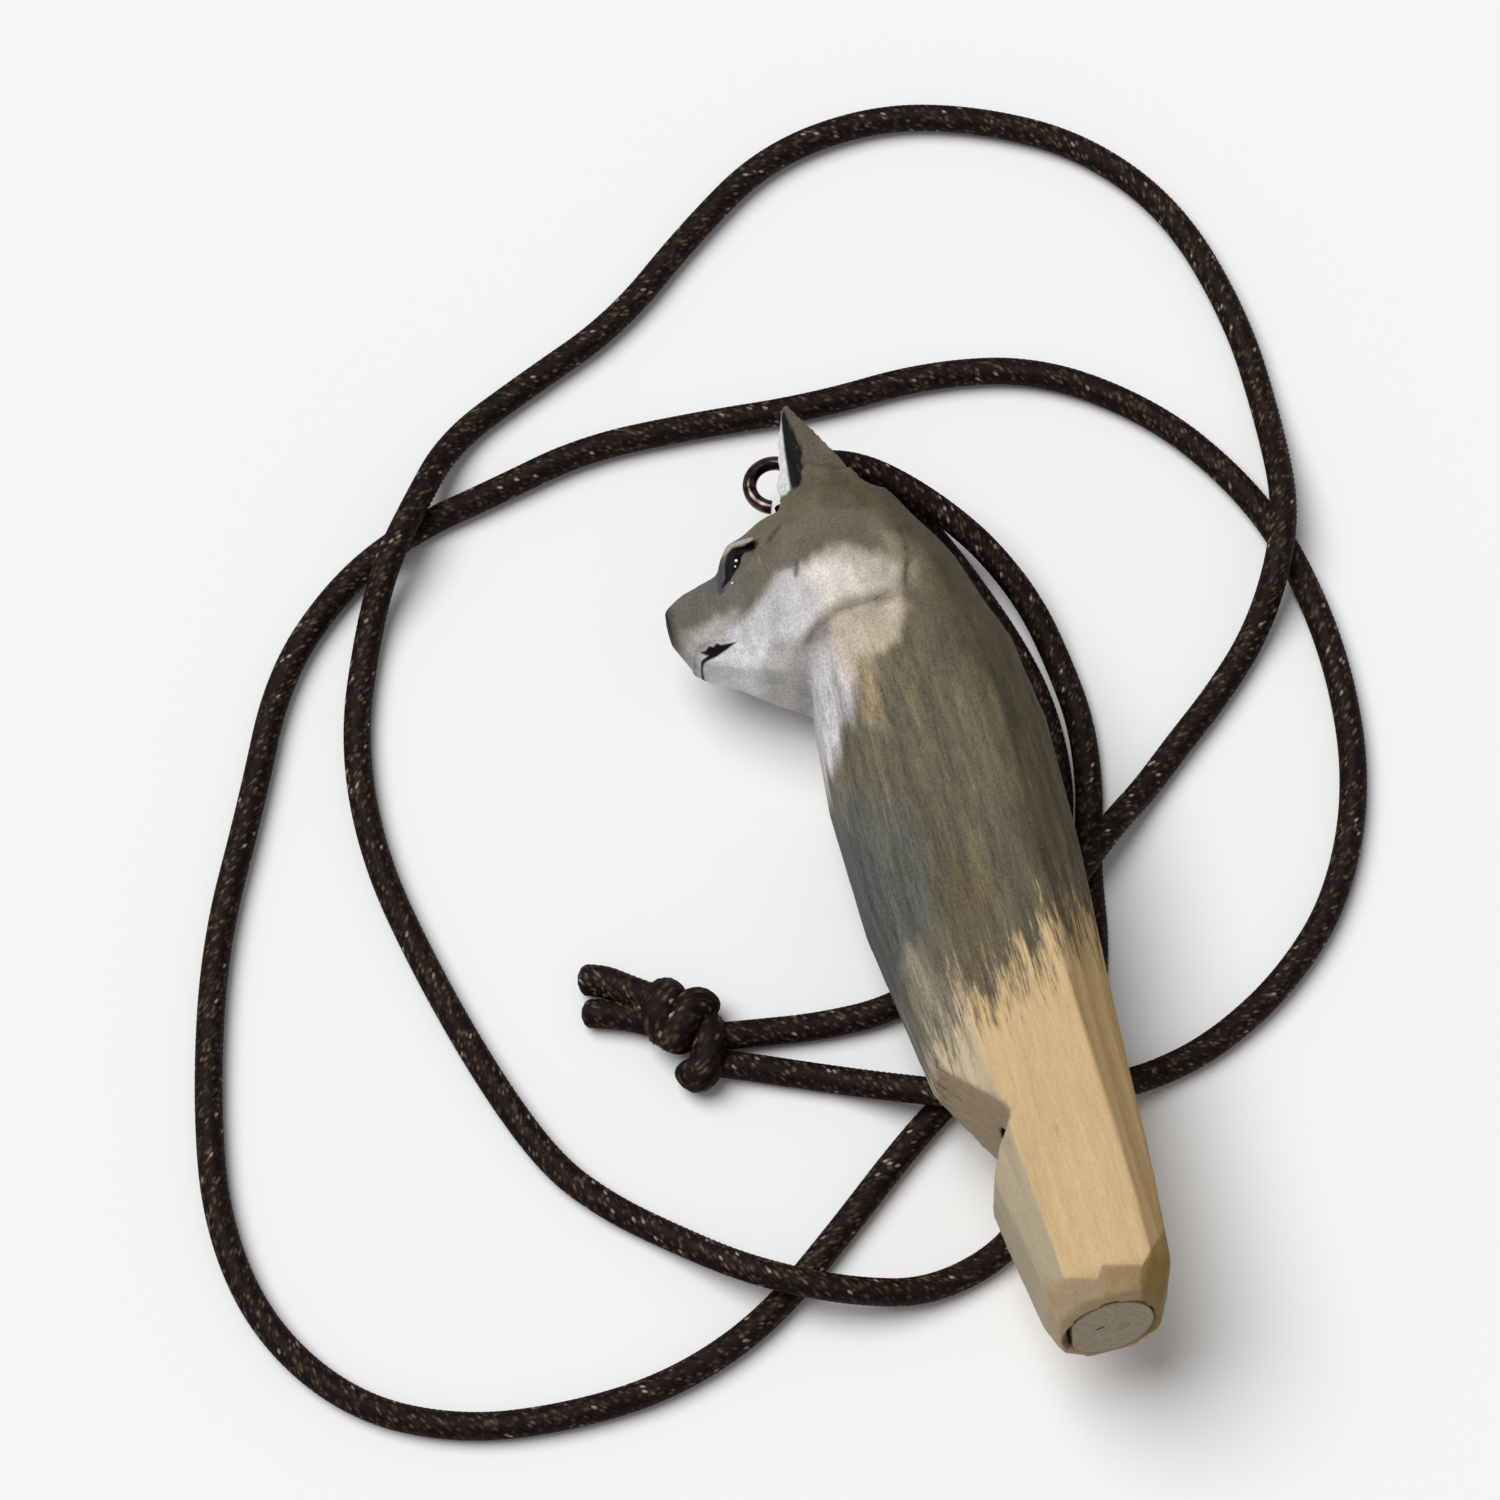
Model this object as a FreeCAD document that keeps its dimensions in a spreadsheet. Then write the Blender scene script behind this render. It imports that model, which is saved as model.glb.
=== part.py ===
import FreeCAD, Part
import math
import os

import Sketcher
from FreeCAD import Placement, Rotation, Vector

# A whistle carved from one block as a sitting wolf, on a loop of braided neck cord.
# It lies on its right flank across the cord, which lifts the mouth end a little.
# Carving frame: Y runs along the bore from the mouth end to the ears, -X is the wolf's chest
# and face, +Z comes out of its left flank. The placement then lays the carving down.

# Sizes of the drilled and cut features, in millimetres and degrees
SIZES = [
    ("bore_diameter", 8.5),
    ("chamber_depth", 59.0),
    ("drill_point", 2.4),
    ("end_slant", 9.0),
    ("window_at", 21.6),
    ("window_bite", 0.4),
    ("ramp_run", 9.4),
    ("ramp_rise", 6.4),
    ("lip_bevel_run", 2.8),
    ("lip_bevel_rise", 2.1),
    ("lip_face_run", 2.6),
    ("lip_face_rise", 1.2),
    ("plug_clearance", 0.04),
    ("plug_setback", 0.8),
    ("windway_height", 0.5),
    ("mouth_reach", 16.2),
    ("mouth_rise", 7.1),
    ("mouth_drop", 1.6),
    ("mouth_gap", 1.0),
    ("eye_level", 5.2),
    ("ear_root", 14.0),
    ("ear_length", 16.5),
    ("ear_hollow_at", 7.0),
    ("ear_hollow_tip", 1.4),
    ("ring_hole", 3.66),
    ("wire_diameter", 1.44),
    ("ring_reach", 6.8),
    ("ring_stand", 25.8),
    ("ring_sweep", 338.0),
    ("shank_length", 11.0),
    ("shank_point", 1.6),
    ("pilot_clearance", 0.03),
    ("lie_pitch", 5.0),
    ("lie_across", 4.9),
    ("lie_along", -50.57),
    ("lie_height", 17.41),
    ("loop_along", 0.33),
    ("cord_diameter", 2.8),
]

# Sections across the trunk: run from the last one, chest, back, half thickness, corner facet
TRUNK = [
    ("rim", 0.0, 4.65, 4.65, 4.75, 2.5),
    ("collar", 4.1, 5.6, 6.8, 7.2, 2.0),
    ("lip", 11.7, 7.0, 8.1, 7.5, 2.9),
    ("waist", 15.0, 9.3, 9.3, 8.5, 4.2),
    ("chest", 17.0, 10.9, 10.8, 9.5, 4.4),
    ("shoulder", 14.0, 10.8, 11.5, 9.9, 4.7),
    ("neck", 9.0, 9.8, 10.7, 9.3, 4.3),
    ("nape", 10.0, 7.5, 7.9, 9.1, 3.3),
    ("crown", 9.5, 5.5, 3.2, 8.3, 2.4),
]

# Sections across the head: reach forward, jaw and top above the neck section, half thickness,
# jaw facet, top facet
HEAD = [
    ("ruff", -2.0, 5.3, 18.7, 9.6, 3.0, 3.8),
    ("cheek", 4.5, 1.2, 21.4, 9.8, 3.2, 4.4),
    ("temple", 9.8, 2.0, 20.9, 8.0, 3.0, 3.8),
    ("brow", 13.6, 4.0, 18.8, 5.8, 2.2, 1.6),
    ("stop", 15.4, 5.2, 16.0, 4.6, 1.9, 1.4),
    ("muzzle", 19.4, 7.4, 15.3, 3.8, 1.7, 1.5),
    ("nose", 21.3, 11.4, 14.4, 1.9, 0.9, 0.8),
]

# Corners of an ear at its root and just under its tip: toward the chest, out from the middle
EAR = [
    ("inner_front", 9.9, 3.4, 4.8, 7.0),
    ("outer_front", 4.7, 9.2, 4.6, 7.7),
    ("outer_back", -4.2, 7.4, 4.1, 7.6),
    ("inner_back", -3.2, 3.6, 4.1, 7.0),
]

# Corners of the hollow in an ear, in the same form
HOLLOW = [
    ("hollow_inner", 6.7, 7.0, 5.3, 7.1),
    ("hollow_outer", 5.5, 8.2, 5.1, 7.6),
    ("hollow_deep", 3.9, 6.3, 4.5, 7.1),
]

# Corners of the knife cut under a brow that the eye sits in: reach forward, rise above the neck
EYE_CUT = [
    ("eye_tear", 15.9, 13.4),
    ("eye_low", 12.9, 14.6),
    ("eye_outer", 10.6, 16.6),
    ("eye_brow", 12.7, 17.7),
    ("eye_bridge", 16.4, 15.4),
]

# The long leg of the cord passes through the ring, lies under the mouth end, makes both loops
# and comes back to the knot. Heights are of the cord's centre above the surface it lies on.
LONG_LEG = [
    (3, 45.1, 6.65), (-1.7, 45.1, 6.65), (-1.7, 45.5, 11.35), (3.2, 45.5, 11.35),
    (7, 44.7, 9.9), (10.8, 42.1, 8.4), (14.8, 38.1, 6.6), (17.9, 34, 4.7), (20.5, 28.3, 2.8),
    (21.6, 22.1, 1.5), (22, 15.4, 1.4), (20.9, 8.5, 1.4), (19.3, 3.5, 1.4), (17.9, -1.5, 1.4),
    (16.9, -7, 1.4), (15, -13, 1.4), (11.3, -20, 1.4),
    (5, -28.5, 1.4), (1, -35.5, 1.4), (-8.5, -38.3, 1.4), (-17, -36.8, 4.6),
    (-25.5, -32.3, 4.6), (-32, -26, 1.4), (-37, -21.5, 1.4), (-41.3, -16, 1.4), (-45, -6, 1.4),
    (-48.3, 7, 1.4), (-50.5, 20, 1.4), (-49.5, 32.5, 1.4), (-45, 44, 1.4), (-41.5, 49.5, 4.6),
    (-37.5, 54.5, 4.6), (-32, 62, 1.4), (-23, 66, 1.4), (-12, 70.5, 1.4), (-2, 78.5, 1.4),
    (8, 85, 1.4), (20, 86.5, 1.4), (30.5, 83.5, 1.4), (40.5, 77.5, 1.4), (47.5, 67.5, 1.4),
    (50.2, 54, 1.4), (50, 42.5, 1.4), (48.5, 32, 4.6), (45.5, 25, 4.6), (41.5, 19.5, 1.4),
    (36, 14.4, 1.4), (30.5, 10.2, 1.4), (26, 6.5, 1.5), (22.3, 3.7, 3.3), (18.4, 0.4, 4.6),
    (14.4, -3.2, 4.2), (10.2, -7.5, 1.6), (5, -13, 1.4), (0, -18.5, 1.4), (-7, -23, 1.4),
    (-16.5, -30.5, 1.4), (-25.5, -37, 1.4),
    (-35.5, -40.5, 1.4), (-46, -41, 1.4), (-56.5, -39.5, 1.4), (-66, -34.5, 1.4),
    (-72.5, -25, 1.4), (-74.5, -13.5, 1.4), (-72.5, -0.5, 1.4), (-68, 15, 1.4), (-61, 28.5, 1.4),
    (-55, 41.5, 1.4), (-46.5, 49.5, 1.4), (-38, 53.5, 1.4), (-29, 55.3, 1.4), (-19, 57.6, 1.4),
    (-7.5, 57.2, 1.4), (5, 56, 1.4), (17.5, 56.5, 1.4), (29, 54, 1.4), (39, 46, 1.4),
    (45, 36.5, 1.4), (48, 27.5, 1.4), (49, 14.5, 1.4), (47, 1.5, 1.4), (41.5, -9.5, 1.4),
    (34, -16.5, 1.4), (25.5, -21, 1.4), (18.5, -22.6, 1.4), (12, -23.5, 4.6), (5.5, -22.5, 4.6),
    (0, -20.7, 4.6), (-5, -18.8, 4.6), (-11, -15.2, 1.4), (-16, -12.5, 1.4), (-20, -10.7, 1.4),
    (-23.5, -9.6, 1.9),
]

# The short leg goes on from the long one's start beside the ring, under the body to the knot
SHORT_LEG = [
    (3, 45.1, 6.65), (7, 45.1, 6.65), (10.6, 41.6, 4.9), (13.4, 36.6, 3.1), (15.6, 31.2, 1.8),
    (17.3, 25.9, 1.4), (18.5, 20, 1.4), (18.6, 13.7, 1.4), (17.7, 7.8, 1.4), (15.6, 2.6, 1.4),
    (10, -2.3, 1.4), (2, -7, 1.4), (-5, -9.2, 1.4), (-12, -9, 1.4), (-18, -8, 2.2),
    (-22.6, -7.3, 3.6),
]

# Lumps and tails of the knot: centre or end points, then radii
KNOT_LUMPS = [
    ("knot_wrap", (-25.4, -6.6, 2.9), (3.7, 4.4, 2.9)),
    ("knot_bight", (-25.2, -10.4, 2.3), (2.4, 2.6, 2.2)),
]
KNOT_TAILS = [
    ("tail_far", (-27.0, -4.0, 2.4), (-33.8, 0.4, 1.5)),
    ("tail_near", (-27.3, -5.4, 2.0), (-34.4, -2.7, 1.5)),
]

CUT_MARGIN = 7.0
RUN_SHARE = 0.45
SHEET = "Sizes"

doc = FreeCAD.newDocument("wolf_whistle")


def station_sizes():
    """Every section's sizes as named cells."""
    cells = []
    for name, run, front, back, half, facet in TRUNK:
        cells += [(name + "_run", run), (name + "_front", front), (name + "_back", back),
                  (name + "_half", half), (name + "_facet", facet)]
    for name, reach, low, top, half, low_facet, top_facet in HEAD:
        cells += [(name + "_reach", reach), (name + "_low", low), (name + "_top", top),
                  (name + "_side", half), (name + "_jaw", low_facet), (name + "_roof", top_facet)]
    for name, reach, rise in EYE_CUT:
        cells += [(name + "_reach", reach), (name + "_rise", rise)]
    for name, root_front, root_out, tip_front, tip_out in EAR + HOLLOW:
        cells += [(name + "_root", root_front), (name + "_spread", root_out),
                  (name + "_tip", tip_front), (name + "_lean", tip_out)]
    return cells


def derived_sizes():
    """Places that follow from the sizes, as formulas in the sheet."""
    cells = [("rim_at", "=0")]
    for (before, *_), (name, *_) in zip(TRUNK, TRUNK[1:]):
        cells.append((name + "_at", "=%s_at + %s_run" % (before, name)))
    for name, *_ in HEAD:
        cells += [(name + "_floor", "=neck_at + %s_low" % name),
                  (name + "_crest", "=neck_at + %s_top" % name)]
    cells += [
        ("bore_radius", "=bore_diameter / 2"),
        ("window_level", "=bore_radius - window_bite"),
        ("plug_radius", "=bore_radius - plug_clearance"),
        ("plug_flat", "=bore_radius - windway_height"),
        ("plug_length", "=window_at - plug_setback"),
        ("ear_root_at", "=neck_at + ear_root"),
        ("ear_tip_at", "=ear_root_at + ear_length"),
        ("hollow_at", "=ear_root_at + ear_hollow_at"),
        ("hollow_end", "=ear_tip_at - ear_hollow_tip"),
        ("wire_radius", "=wire_diameter / 2"),
        ("ring_radius", "=ring_hole / 2 + wire_radius"),
        ("ring_at", "=neck_at + ring_stand"),
        ("pilot_radius", "=wire_radius + pilot_clearance"),
        ("pilot_length", "=shank_length + pilot_clearance * 4"),
        ("cut_margin", "=%g" % CUT_MARGIN),
    ]
    return cells


def make_sheet():
    sheet = doc.addObject("Spreadsheet::Sheet", SHEET)
    sheet.Label = SHEET
    plain = [(name, "%g" % value) for name, value in SIZES + station_sizes()]
    for row, (name, text) in enumerate(plain + derived_sizes(), start=1):
        sheet.set("A%d" % row, name)
        sheet.set("B%d" % row, text)
        sheet.setAlias("B%d" % row, name)
    doc.recompute()
    return sheet


sheet = make_sheet()


def size(name):
    return float(getattr(sheet, name))


def cell(text):
    """Formula text with every name in it read from the sheet."""
    words = text.split(" ")
    marks = ("+", "-", "*", "/", "(", ")")
    named = [w if w in marks or w[0].isdigit() else SHEET + "." + w for w in words]
    return " ".join(named)


def new_body(name):
    body = doc.addObject("PartDesign::Body", name)
    body.Label = name
    return body


def lay_down(piece):
    """Place a carved piece on its right flank with the mouth end raised."""
    piece.Placement = Placement(Vector(0, 0, 0), Rotation(Vector(1, 0, 0), -size("lie_pitch")))
    piece.setExpression("Placement.Base.x", cell("lie_across"))
    piece.setExpression("Placement.Base.y", cell("lie_along"))
    piece.setExpression("Placement.Base.z", cell("lie_height"))
    piece.setExpression("Placement.Rotation.Angle", cell("0 - lie_pitch"))


def new_sketch(body, name, role, shift):
    """Sketch on one of the body's planes, moved by formulas along the plane's own axes."""
    sketch = body.newObject("Sketcher::SketchObject", name)
    plane = [f for f in body.Origin.OriginFeatures if f.Role == role][0]
    sketch.AttachmentSupport = [(plane, "")]
    sketch.MapMode = "FlatFace"
    for axis, text in zip("xyz", shift):
        if text != "0":
            sketch.setExpression("AttachmentOffset.Base." + axis, cell(text))
    return sketch


def pin_point(sketch, geometry, end, across, up):
    """Fix a sketch point at formula distances from the sketch's origin."""
    point = sketch.getPoint(geometry, end)
    for kind, text, value in (("DistanceX", across, point.x), ("DistanceY", up, point.y)):
        index = sketch.addConstraint(Sketcher.Constraint(kind, -1, 1, geometry, end, value))
        sketch.setExpression("Constraints[%d]" % index, cell(text))


def polygon(body, name, role, shift, corners):
    """Closed outline whose corners are pairs of formulas."""
    sketch = new_sketch(body, name, role, shift)
    count = len(corners)
    ring = [Vector(math.cos(2 * math.pi * i / count), math.sin(2 * math.pi * i / count), 0)
            for i in range(count)]
    for i in range(count):
        sketch.addGeometry(Part.LineSegment(ring[i], ring[(i + 1) % count]))
    for i in range(count):
        sketch.addConstraint(Sketcher.Constraint("Coincident", i, 2, (i + 1) % count, 1))
    for i, (across, up) in enumerate(corners):
        pin_point(sketch, i, 1, across, up)
    return sketch


def circle(body, name, role, shift, across, radius):
    sketch = new_sketch(body, name, role, shift)
    sketch.addGeometry(Part.Circle(Vector(1, 0, 0), Vector(0, 0, 1), 1))
    pin_point(sketch, 0, 3, across, "0")
    index = sketch.addConstraint(Sketcher.Constraint("Radius", 0, 1.0))
    sketch.setExpression("Constraints[%d]" % index, cell(radius))
    return sketch


def octagon(low, high, half, low_facet, high_facet):
    """Corners of a block with its four long edges taken off."""
    return [
        (low + " + " + low_facet, "0 - " + half),
        (high + " - " + high_facet, "0 - " + half),
        (high, high_facet + " - " + half),
        (high, half + " - " + high_facet),
        (high + " - " + high_facet, half),
        (low + " + " + low_facet, half),
        (low, half + " - " + low_facet),
        (low, low_facet + " - " + half),
    ]


def loft(body, kind, name, sections):
    feature = body.newObject("PartDesign::" + kind, name)
    feature.Profile = (sections[0], [""])
    feature.Sections = [(s, [""]) for s in sections[1:]]
    feature.Ruled = True
    return feature


def turned(body, kind, name, sketch, sweep):
    """Solid or cut turned about the sketch's own upright axis."""
    feature = body.newObject("PartDesign::" + kind, name)
    feature.Profile = (sketch, [""])
    feature.ReferenceAxis = (sketch, ["V_Axis"])
    feature.Angle = 360.0
    if sweep:
        feature.setExpression("Angle", cell(sweep))
    return feature


def cut_through(body, name, sketch, length):
    """Cut both ways from the sketch."""
    pocket = body.newObject("PartDesign::Pocket", name)
    pocket.Profile = (sketch, [""])
    pocket.SideType = "Symmetric"
    pocket.setExpression("Length", cell(length))
    return pocket


def carve_trunk(body):
    sections = []
    for name, *_ in TRUNK:
        corners = octagon("0 - %s_front" % name, name + "_back", name + "_half",
                          name + "_facet", name + "_facet")
        shift = ("0", "0", "0 - %s_at" % name)
        sections.append(polygon(body, name + "_section", "XZ_Plane", shift, corners))
    return loft(body, "AdditiveLoft", "trunk", sections)


def carve_head(body):
    sections = []
    for name, *_ in HEAD:
        corners = octagon(name + "_floor", name + "_crest", name + "_side",
                          name + "_jaw", name + "_roof")
        shift = ("0", "0", "0 - %s_reach" % name)
        sections.append(polygon(body, name + "_section", "YZ_Plane", shift, corners))
    return loft(body, "AdditiveLoft", "head", sections)


def ear_sections(body, side, corners, root_at, tip_at):
    """Root and tip outlines of an ear or its hollow, on one side of the head."""
    sign = "0 - " if side == "right" else "0 + "
    root = [("0 - %s_root" % name, sign + name + "_spread") for name, *_ in corners]
    tip = [("0 - %s_tip" % name, sign + name + "_lean") for name, *_ in corners]
    label = side + "_" + corners[0][0]
    return [
        polygon(body, label + "_base", "XZ_Plane", ("0", "0", "0 - " + root_at), root),
        polygon(body, label + "_point", "XZ_Plane", ("0", "0", "0 - " + tip_at), tip),
    ]


def carve_ear(body, side):
    loft(body, "AdditiveLoft", side + "_ear",
         ear_sections(body, side, EAR, "ear_root_at", "ear_tip_at"))
    loft(body, "SubtractiveLoft", side + "_ear_hollow",
         ear_sections(body, side, HOLLOW, "hollow_at", "hollow_end"))


def slant_end(body, name):
    """Saw the mouth end off at a slight slant."""
    slope = math.tan(math.radians(size("end_slant")))
    rise = "%.6f * " % slope
    sketch = polygon(body, name + "_outline", "YZ_Plane", ("0", "0", "0"), [
        ("0 - cut_margin", "0 - cut_margin - rim_half"),
        ("0 - " + rise + "cut_margin", "0 - cut_margin - rim_half"),
        (rise + "( cut_margin + rim_half + rim_half )", "cut_margin + rim_half"),
        ("0 - cut_margin", "cut_margin + rim_half"),
    ])
    return cut_through(body, name, sketch, "cut_margin * 4")


def drill_chamber(body):
    sketch = polygon(body, "chamber_outline", "XY_Plane", ("0", "0", "0"), [
        ("0", "0 - cut_margin"),
        ("bore_radius", "0 - cut_margin"),
        ("bore_radius", "chamber_depth"),
        ("0", "chamber_depth + drill_point"),
    ])
    return turned(body, "Groove", "air_chamber", sketch, "")


def cut_window(body):
    """V notch on the chest side: a long ramp and the short faceted lip of the mouthpiece."""
    lip_at = "window_at - lip_bevel_run - lip_face_run"
    lip_out = "window_level + lip_bevel_rise + lip_face_rise"
    sketch = polygon(body, "window_outline", "XY_Plane", ("0", "0", "0"), [
        ("0 - window_level", "window_at"),
        ("0 - window_level - lip_bevel_rise", "window_at - lip_bevel_run"),
        ("0 - ( " + lip_out + " )", lip_at),
        ("0 - ( " + lip_out + " ) - cut_margin", lip_at),
        ("0 - window_level - ramp_rise * 2", "window_at + ramp_run * 2"),
    ])
    return cut_through(body, "window_notch", sketch, "waist_half * 4")


def cut_mouth(body):
    """Thin wedge between the lips."""
    sketch = polygon(body, "mouth_outline", "XY_Plane", ("0", "0", "0"), [
        ("0 - mouth_reach", "neck_at + mouth_rise"),
        ("0 - nose_reach - cut_margin", "neck_at + mouth_rise + mouth_drop"),
        ("0 - nose_reach - cut_margin", "neck_at + mouth_rise + mouth_drop + mouth_gap * 2"),
    ])
    return cut_through(body, "mouth_cut", sketch, "muzzle_side * 4")


def cut_eye(body, side):
    """Slanting cut under the brow on one side, from the eye's level outwards."""
    corners = [("0 - %s_reach" % name, "neck_at + %s_rise" % name) for name, *_ in EYE_CUT]
    level = "eye_level" if side == "left" else "0 - eye_level"
    sketch = polygon(body, side + "_eye_outline", "XY_Plane", ("0", "0", level), corners)
    pocket = body.newObject("PartDesign::Pocket", side + "_eye_cut")
    pocket.Profile = (sketch, [""])
    pocket.Reversed = side == "left"
    pocket.setExpression("Length", cell("cut_margin"))
    return pocket


def shank_outline(body, name, radius, length):
    """Half outline of the shank below the ring, also used for its pilot hole."""
    return polygon(body, name, "XY_Plane", ("0 - ring_reach", "ring_at", "0"), [
        ("0", "0 - ring_radius"),
        (radius, "0 - ring_radius"),
        (radius, "shank_point - " + length + " - ring_radius"),
        ("0", "0 - " + length + " - ring_radius"),
    ])


def make_whistle():
    body = new_body("whistle_body")
    carve_trunk(body)
    carve_head(body)
    for side in ("left", "right"):
        carve_ear(body, side)
        cut_eye(body, side)
    slant_end(body, "body_end")
    drill_chamber(body)
    cut_window(body)
    cut_mouth(body)
    pilot = shank_outline(body, "pilot_outline", "pilot_radius", "pilot_length")
    turned(body, "Groove", "pilot_hole", pilot, "")
    lay_down(body)
    return body


def make_plug():
    body = new_body("fipple_plug")
    dowel = body.newObject("PartDesign::Pad", "dowel")
    dowel.Profile = (circle(body, "dowel_outline", "XZ_Plane", ("0", "0", "0"), "0",
                            "plug_radius"), [""])
    dowel.Reversed = True
    dowel.setExpression("Length", cell("plug_length"))
    flat = polygon(body, "flat_outline", "XY_Plane", ("0", "0", "0"), [
        ("0 - plug_flat", "0 - cut_margin"),
        ("0 - plug_flat", "plug_length + cut_margin"),
        ("0 - plug_flat - cut_margin", "plug_length + cut_margin"),
        ("0 - plug_flat - cut_margin", "0 - cut_margin"),
    ])
    cut_through(body, "windway_flat", flat, "bore_diameter * 2")
    slant_end(body, "plug_end")
    lay_down(body)
    return body


def make_screw_eye():
    body = new_body("screw_eye")
    wire = circle(body, "wire_outline", "YZ_Plane", ("ring_at", "0", "0 - ring_reach"),
                  "0 - ring_radius", "wire_radius")
    turned(body, "Revolution", "ring", wire, "ring_sweep")
    shank = shank_outline(body, "shank_section", "wire_radius", "shank_length")
    turned(body, "Revolution", "shank", shank, "")
    lay_down(body)
    return body


def loop_point(point):
    """Point of the cord loop, which is laid out around the whistle."""
    return Vector(*point) + Vector(0, size("loop_along"), 0)


def rounded_path(points):
    """Straight runs joined by tangent arcs, with each arc as large as its runs allow."""
    edges, start, radii = [], points[0], []
    for before, corner, after in zip(points, points[1:], points[2:]):
        back, ahead = before - corner, after - corner
        half_turn = (math.pi - back.getAngle(ahead)) / 2
        setback = RUN_SHARE * min(back.Length, ahead.Length)
        radius = setback / math.tan(half_turn)
        radii.append(radius)
        back.normalize()
        ahead.normalize()
        enter, leave = corner + back * setback, corner + ahead * setback
        inward = back + ahead
        inward.normalize()
        middle = corner + inward * (radius / math.cos(half_turn) - radius)
        edges.append(Part.LineSegment(start, enter).toShape())
        edges.append(Part.Arc(enter, middle, leave).toShape())
        start = leave
    edges.append(Part.LineSegment(start, points[-1]).toShape())
    return Part.Wire(edges), radii


def make_tube(name, points):
    """Plain round tube along a cord's route."""
    radius = size("cord_diameter") / 2
    points = [loop_point(p) for p in points]
    path, radii = rounded_path(points)
    section = Part.Wire(Part.Circle(points[0], points[1] - points[0], radius).toShape())
    tube = path.makePipeShell([section], True, False)
    feature = doc.addObject("Part::Feature", name)
    feature.Shape = tube
    print("%s length %.1f volume ratio %.4f arc radii %s" % (
        name, path.Length, tube.Volume / (math.pi * radius ** 2 * path.Length),
        " ".join("%.1f" % r for r in sorted(radii)[:12])))
    return feature


def make_tail(name, root, tip):
    """Short end of the cord with a rounded tip."""
    root, tip = loop_point(root), loop_point(tip)
    rod = doc.addObject("Part::Cylinder", name + "_rod")
    rod.Height = (tip - root).Length
    rod.setExpression("Radius", cell("cord_diameter / 2"))
    rod.Placement = Placement(root, Rotation(Vector(0, 0, 1), tip - root))
    cap = doc.addObject("Part::Sphere", name + "_cap")
    cap.setExpression("Radius", cell("cord_diameter / 2"))
    cap.Placement = Placement(tip, Rotation(Vector(0, 0, 1), tip - root))
    return [rod, cap]


def make_knot():
    pieces = []
    for name, centre, radii in KNOT_LUMPS:
        lump = doc.addObject("Part::Ellipsoid", name)
        lump.Radius2, lump.Radius3, lump.Radius1 = radii
        lump.Angle1, lump.Angle2, lump.Angle3 = -90, 90, 360
        lump.Placement = Placement(loop_point(centre), Rotation())
        pieces.append(lump)
    for name, root, tip in KNOT_TAILS:
        pieces += make_tail(name, root, tip)
    knot = doc.addObject("Part::MultiFuse", "cord_knot")
    knot.Label = "cord_knot"
    knot.Shapes = pieces
    return knot


def make_leg(name, points, knot):
    """Cord leg from the ring to the knot's skin."""
    leg = doc.addObject("Part::Cut", name)
    leg.Label = name
    leg.Base = make_tube(name + "_tube", points)
    leg.Tool = knot
    return leg


def check(pieces):
    doc.recompute()
    for item in doc.Objects:
        if "Invalid" in item.State or "Error" in item.State:
            raise RuntimeError("%s failed: %s" % (item.Name, item.State))
    for piece in pieces:
        shape = piece.Shape
        if shape.isNull() or not shape.isValid():
            raise RuntimeError(piece.Label + " has no valid shape")
        box = shape.BoundBox
        print("%s solids %d volume %.1f box %.2f %.2f %.2f to %.2f %.2f %.2f" % (
            piece.Label, len(shape.Solids), shape.Volume,
            box.XMin, box.YMin, box.ZMin, box.XMax, box.YMax, box.ZMax))


def write(pieces):
    os.makedirs("parts", exist_ok=True)
    for piece in pieces:
        piece.Shape.exportStep(os.path.join("parts", piece.Label + ".step"))


def main():
    knot = make_knot()
    pieces = [make_whistle(), make_plug(), make_screw_eye(), knot,
              make_leg("cord_long", LONG_LEG, knot), make_leg("cord_short", SHORT_LEG, knot)]
    check(pieces)
    write(pieces)


main()
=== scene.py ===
import math

import bpy
import bmesh
import numpy as np
from mathutils import Matrix, Vector
from mathutils.bvhtree import BVHTree


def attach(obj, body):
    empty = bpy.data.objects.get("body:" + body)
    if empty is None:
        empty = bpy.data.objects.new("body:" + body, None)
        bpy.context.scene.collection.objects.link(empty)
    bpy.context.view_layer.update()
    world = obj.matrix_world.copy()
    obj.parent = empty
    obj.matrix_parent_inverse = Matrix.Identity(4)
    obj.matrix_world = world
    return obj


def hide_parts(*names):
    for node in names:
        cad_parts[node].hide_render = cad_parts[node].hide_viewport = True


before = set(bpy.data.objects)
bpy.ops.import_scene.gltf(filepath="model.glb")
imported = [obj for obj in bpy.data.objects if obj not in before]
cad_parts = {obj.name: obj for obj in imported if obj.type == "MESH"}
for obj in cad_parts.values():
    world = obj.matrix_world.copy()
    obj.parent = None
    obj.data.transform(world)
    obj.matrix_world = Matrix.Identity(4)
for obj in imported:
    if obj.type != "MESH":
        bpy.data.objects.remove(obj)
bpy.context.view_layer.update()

MM = 0.001
UNIT = 1.0 / MM

# Carving frame: Y along the bore from the mouth end, -X toward chest and nose, Z out of the
# left flank. It is laid down on its right flank with the mouth end raised.
CARVING_AT = np.array([4.9, -50.57, 17.41])
CARVING_PITCH = math.radians(5.0)
# How far the cord's control points are moved along Y
LOOP_ALONG = 0.33

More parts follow.
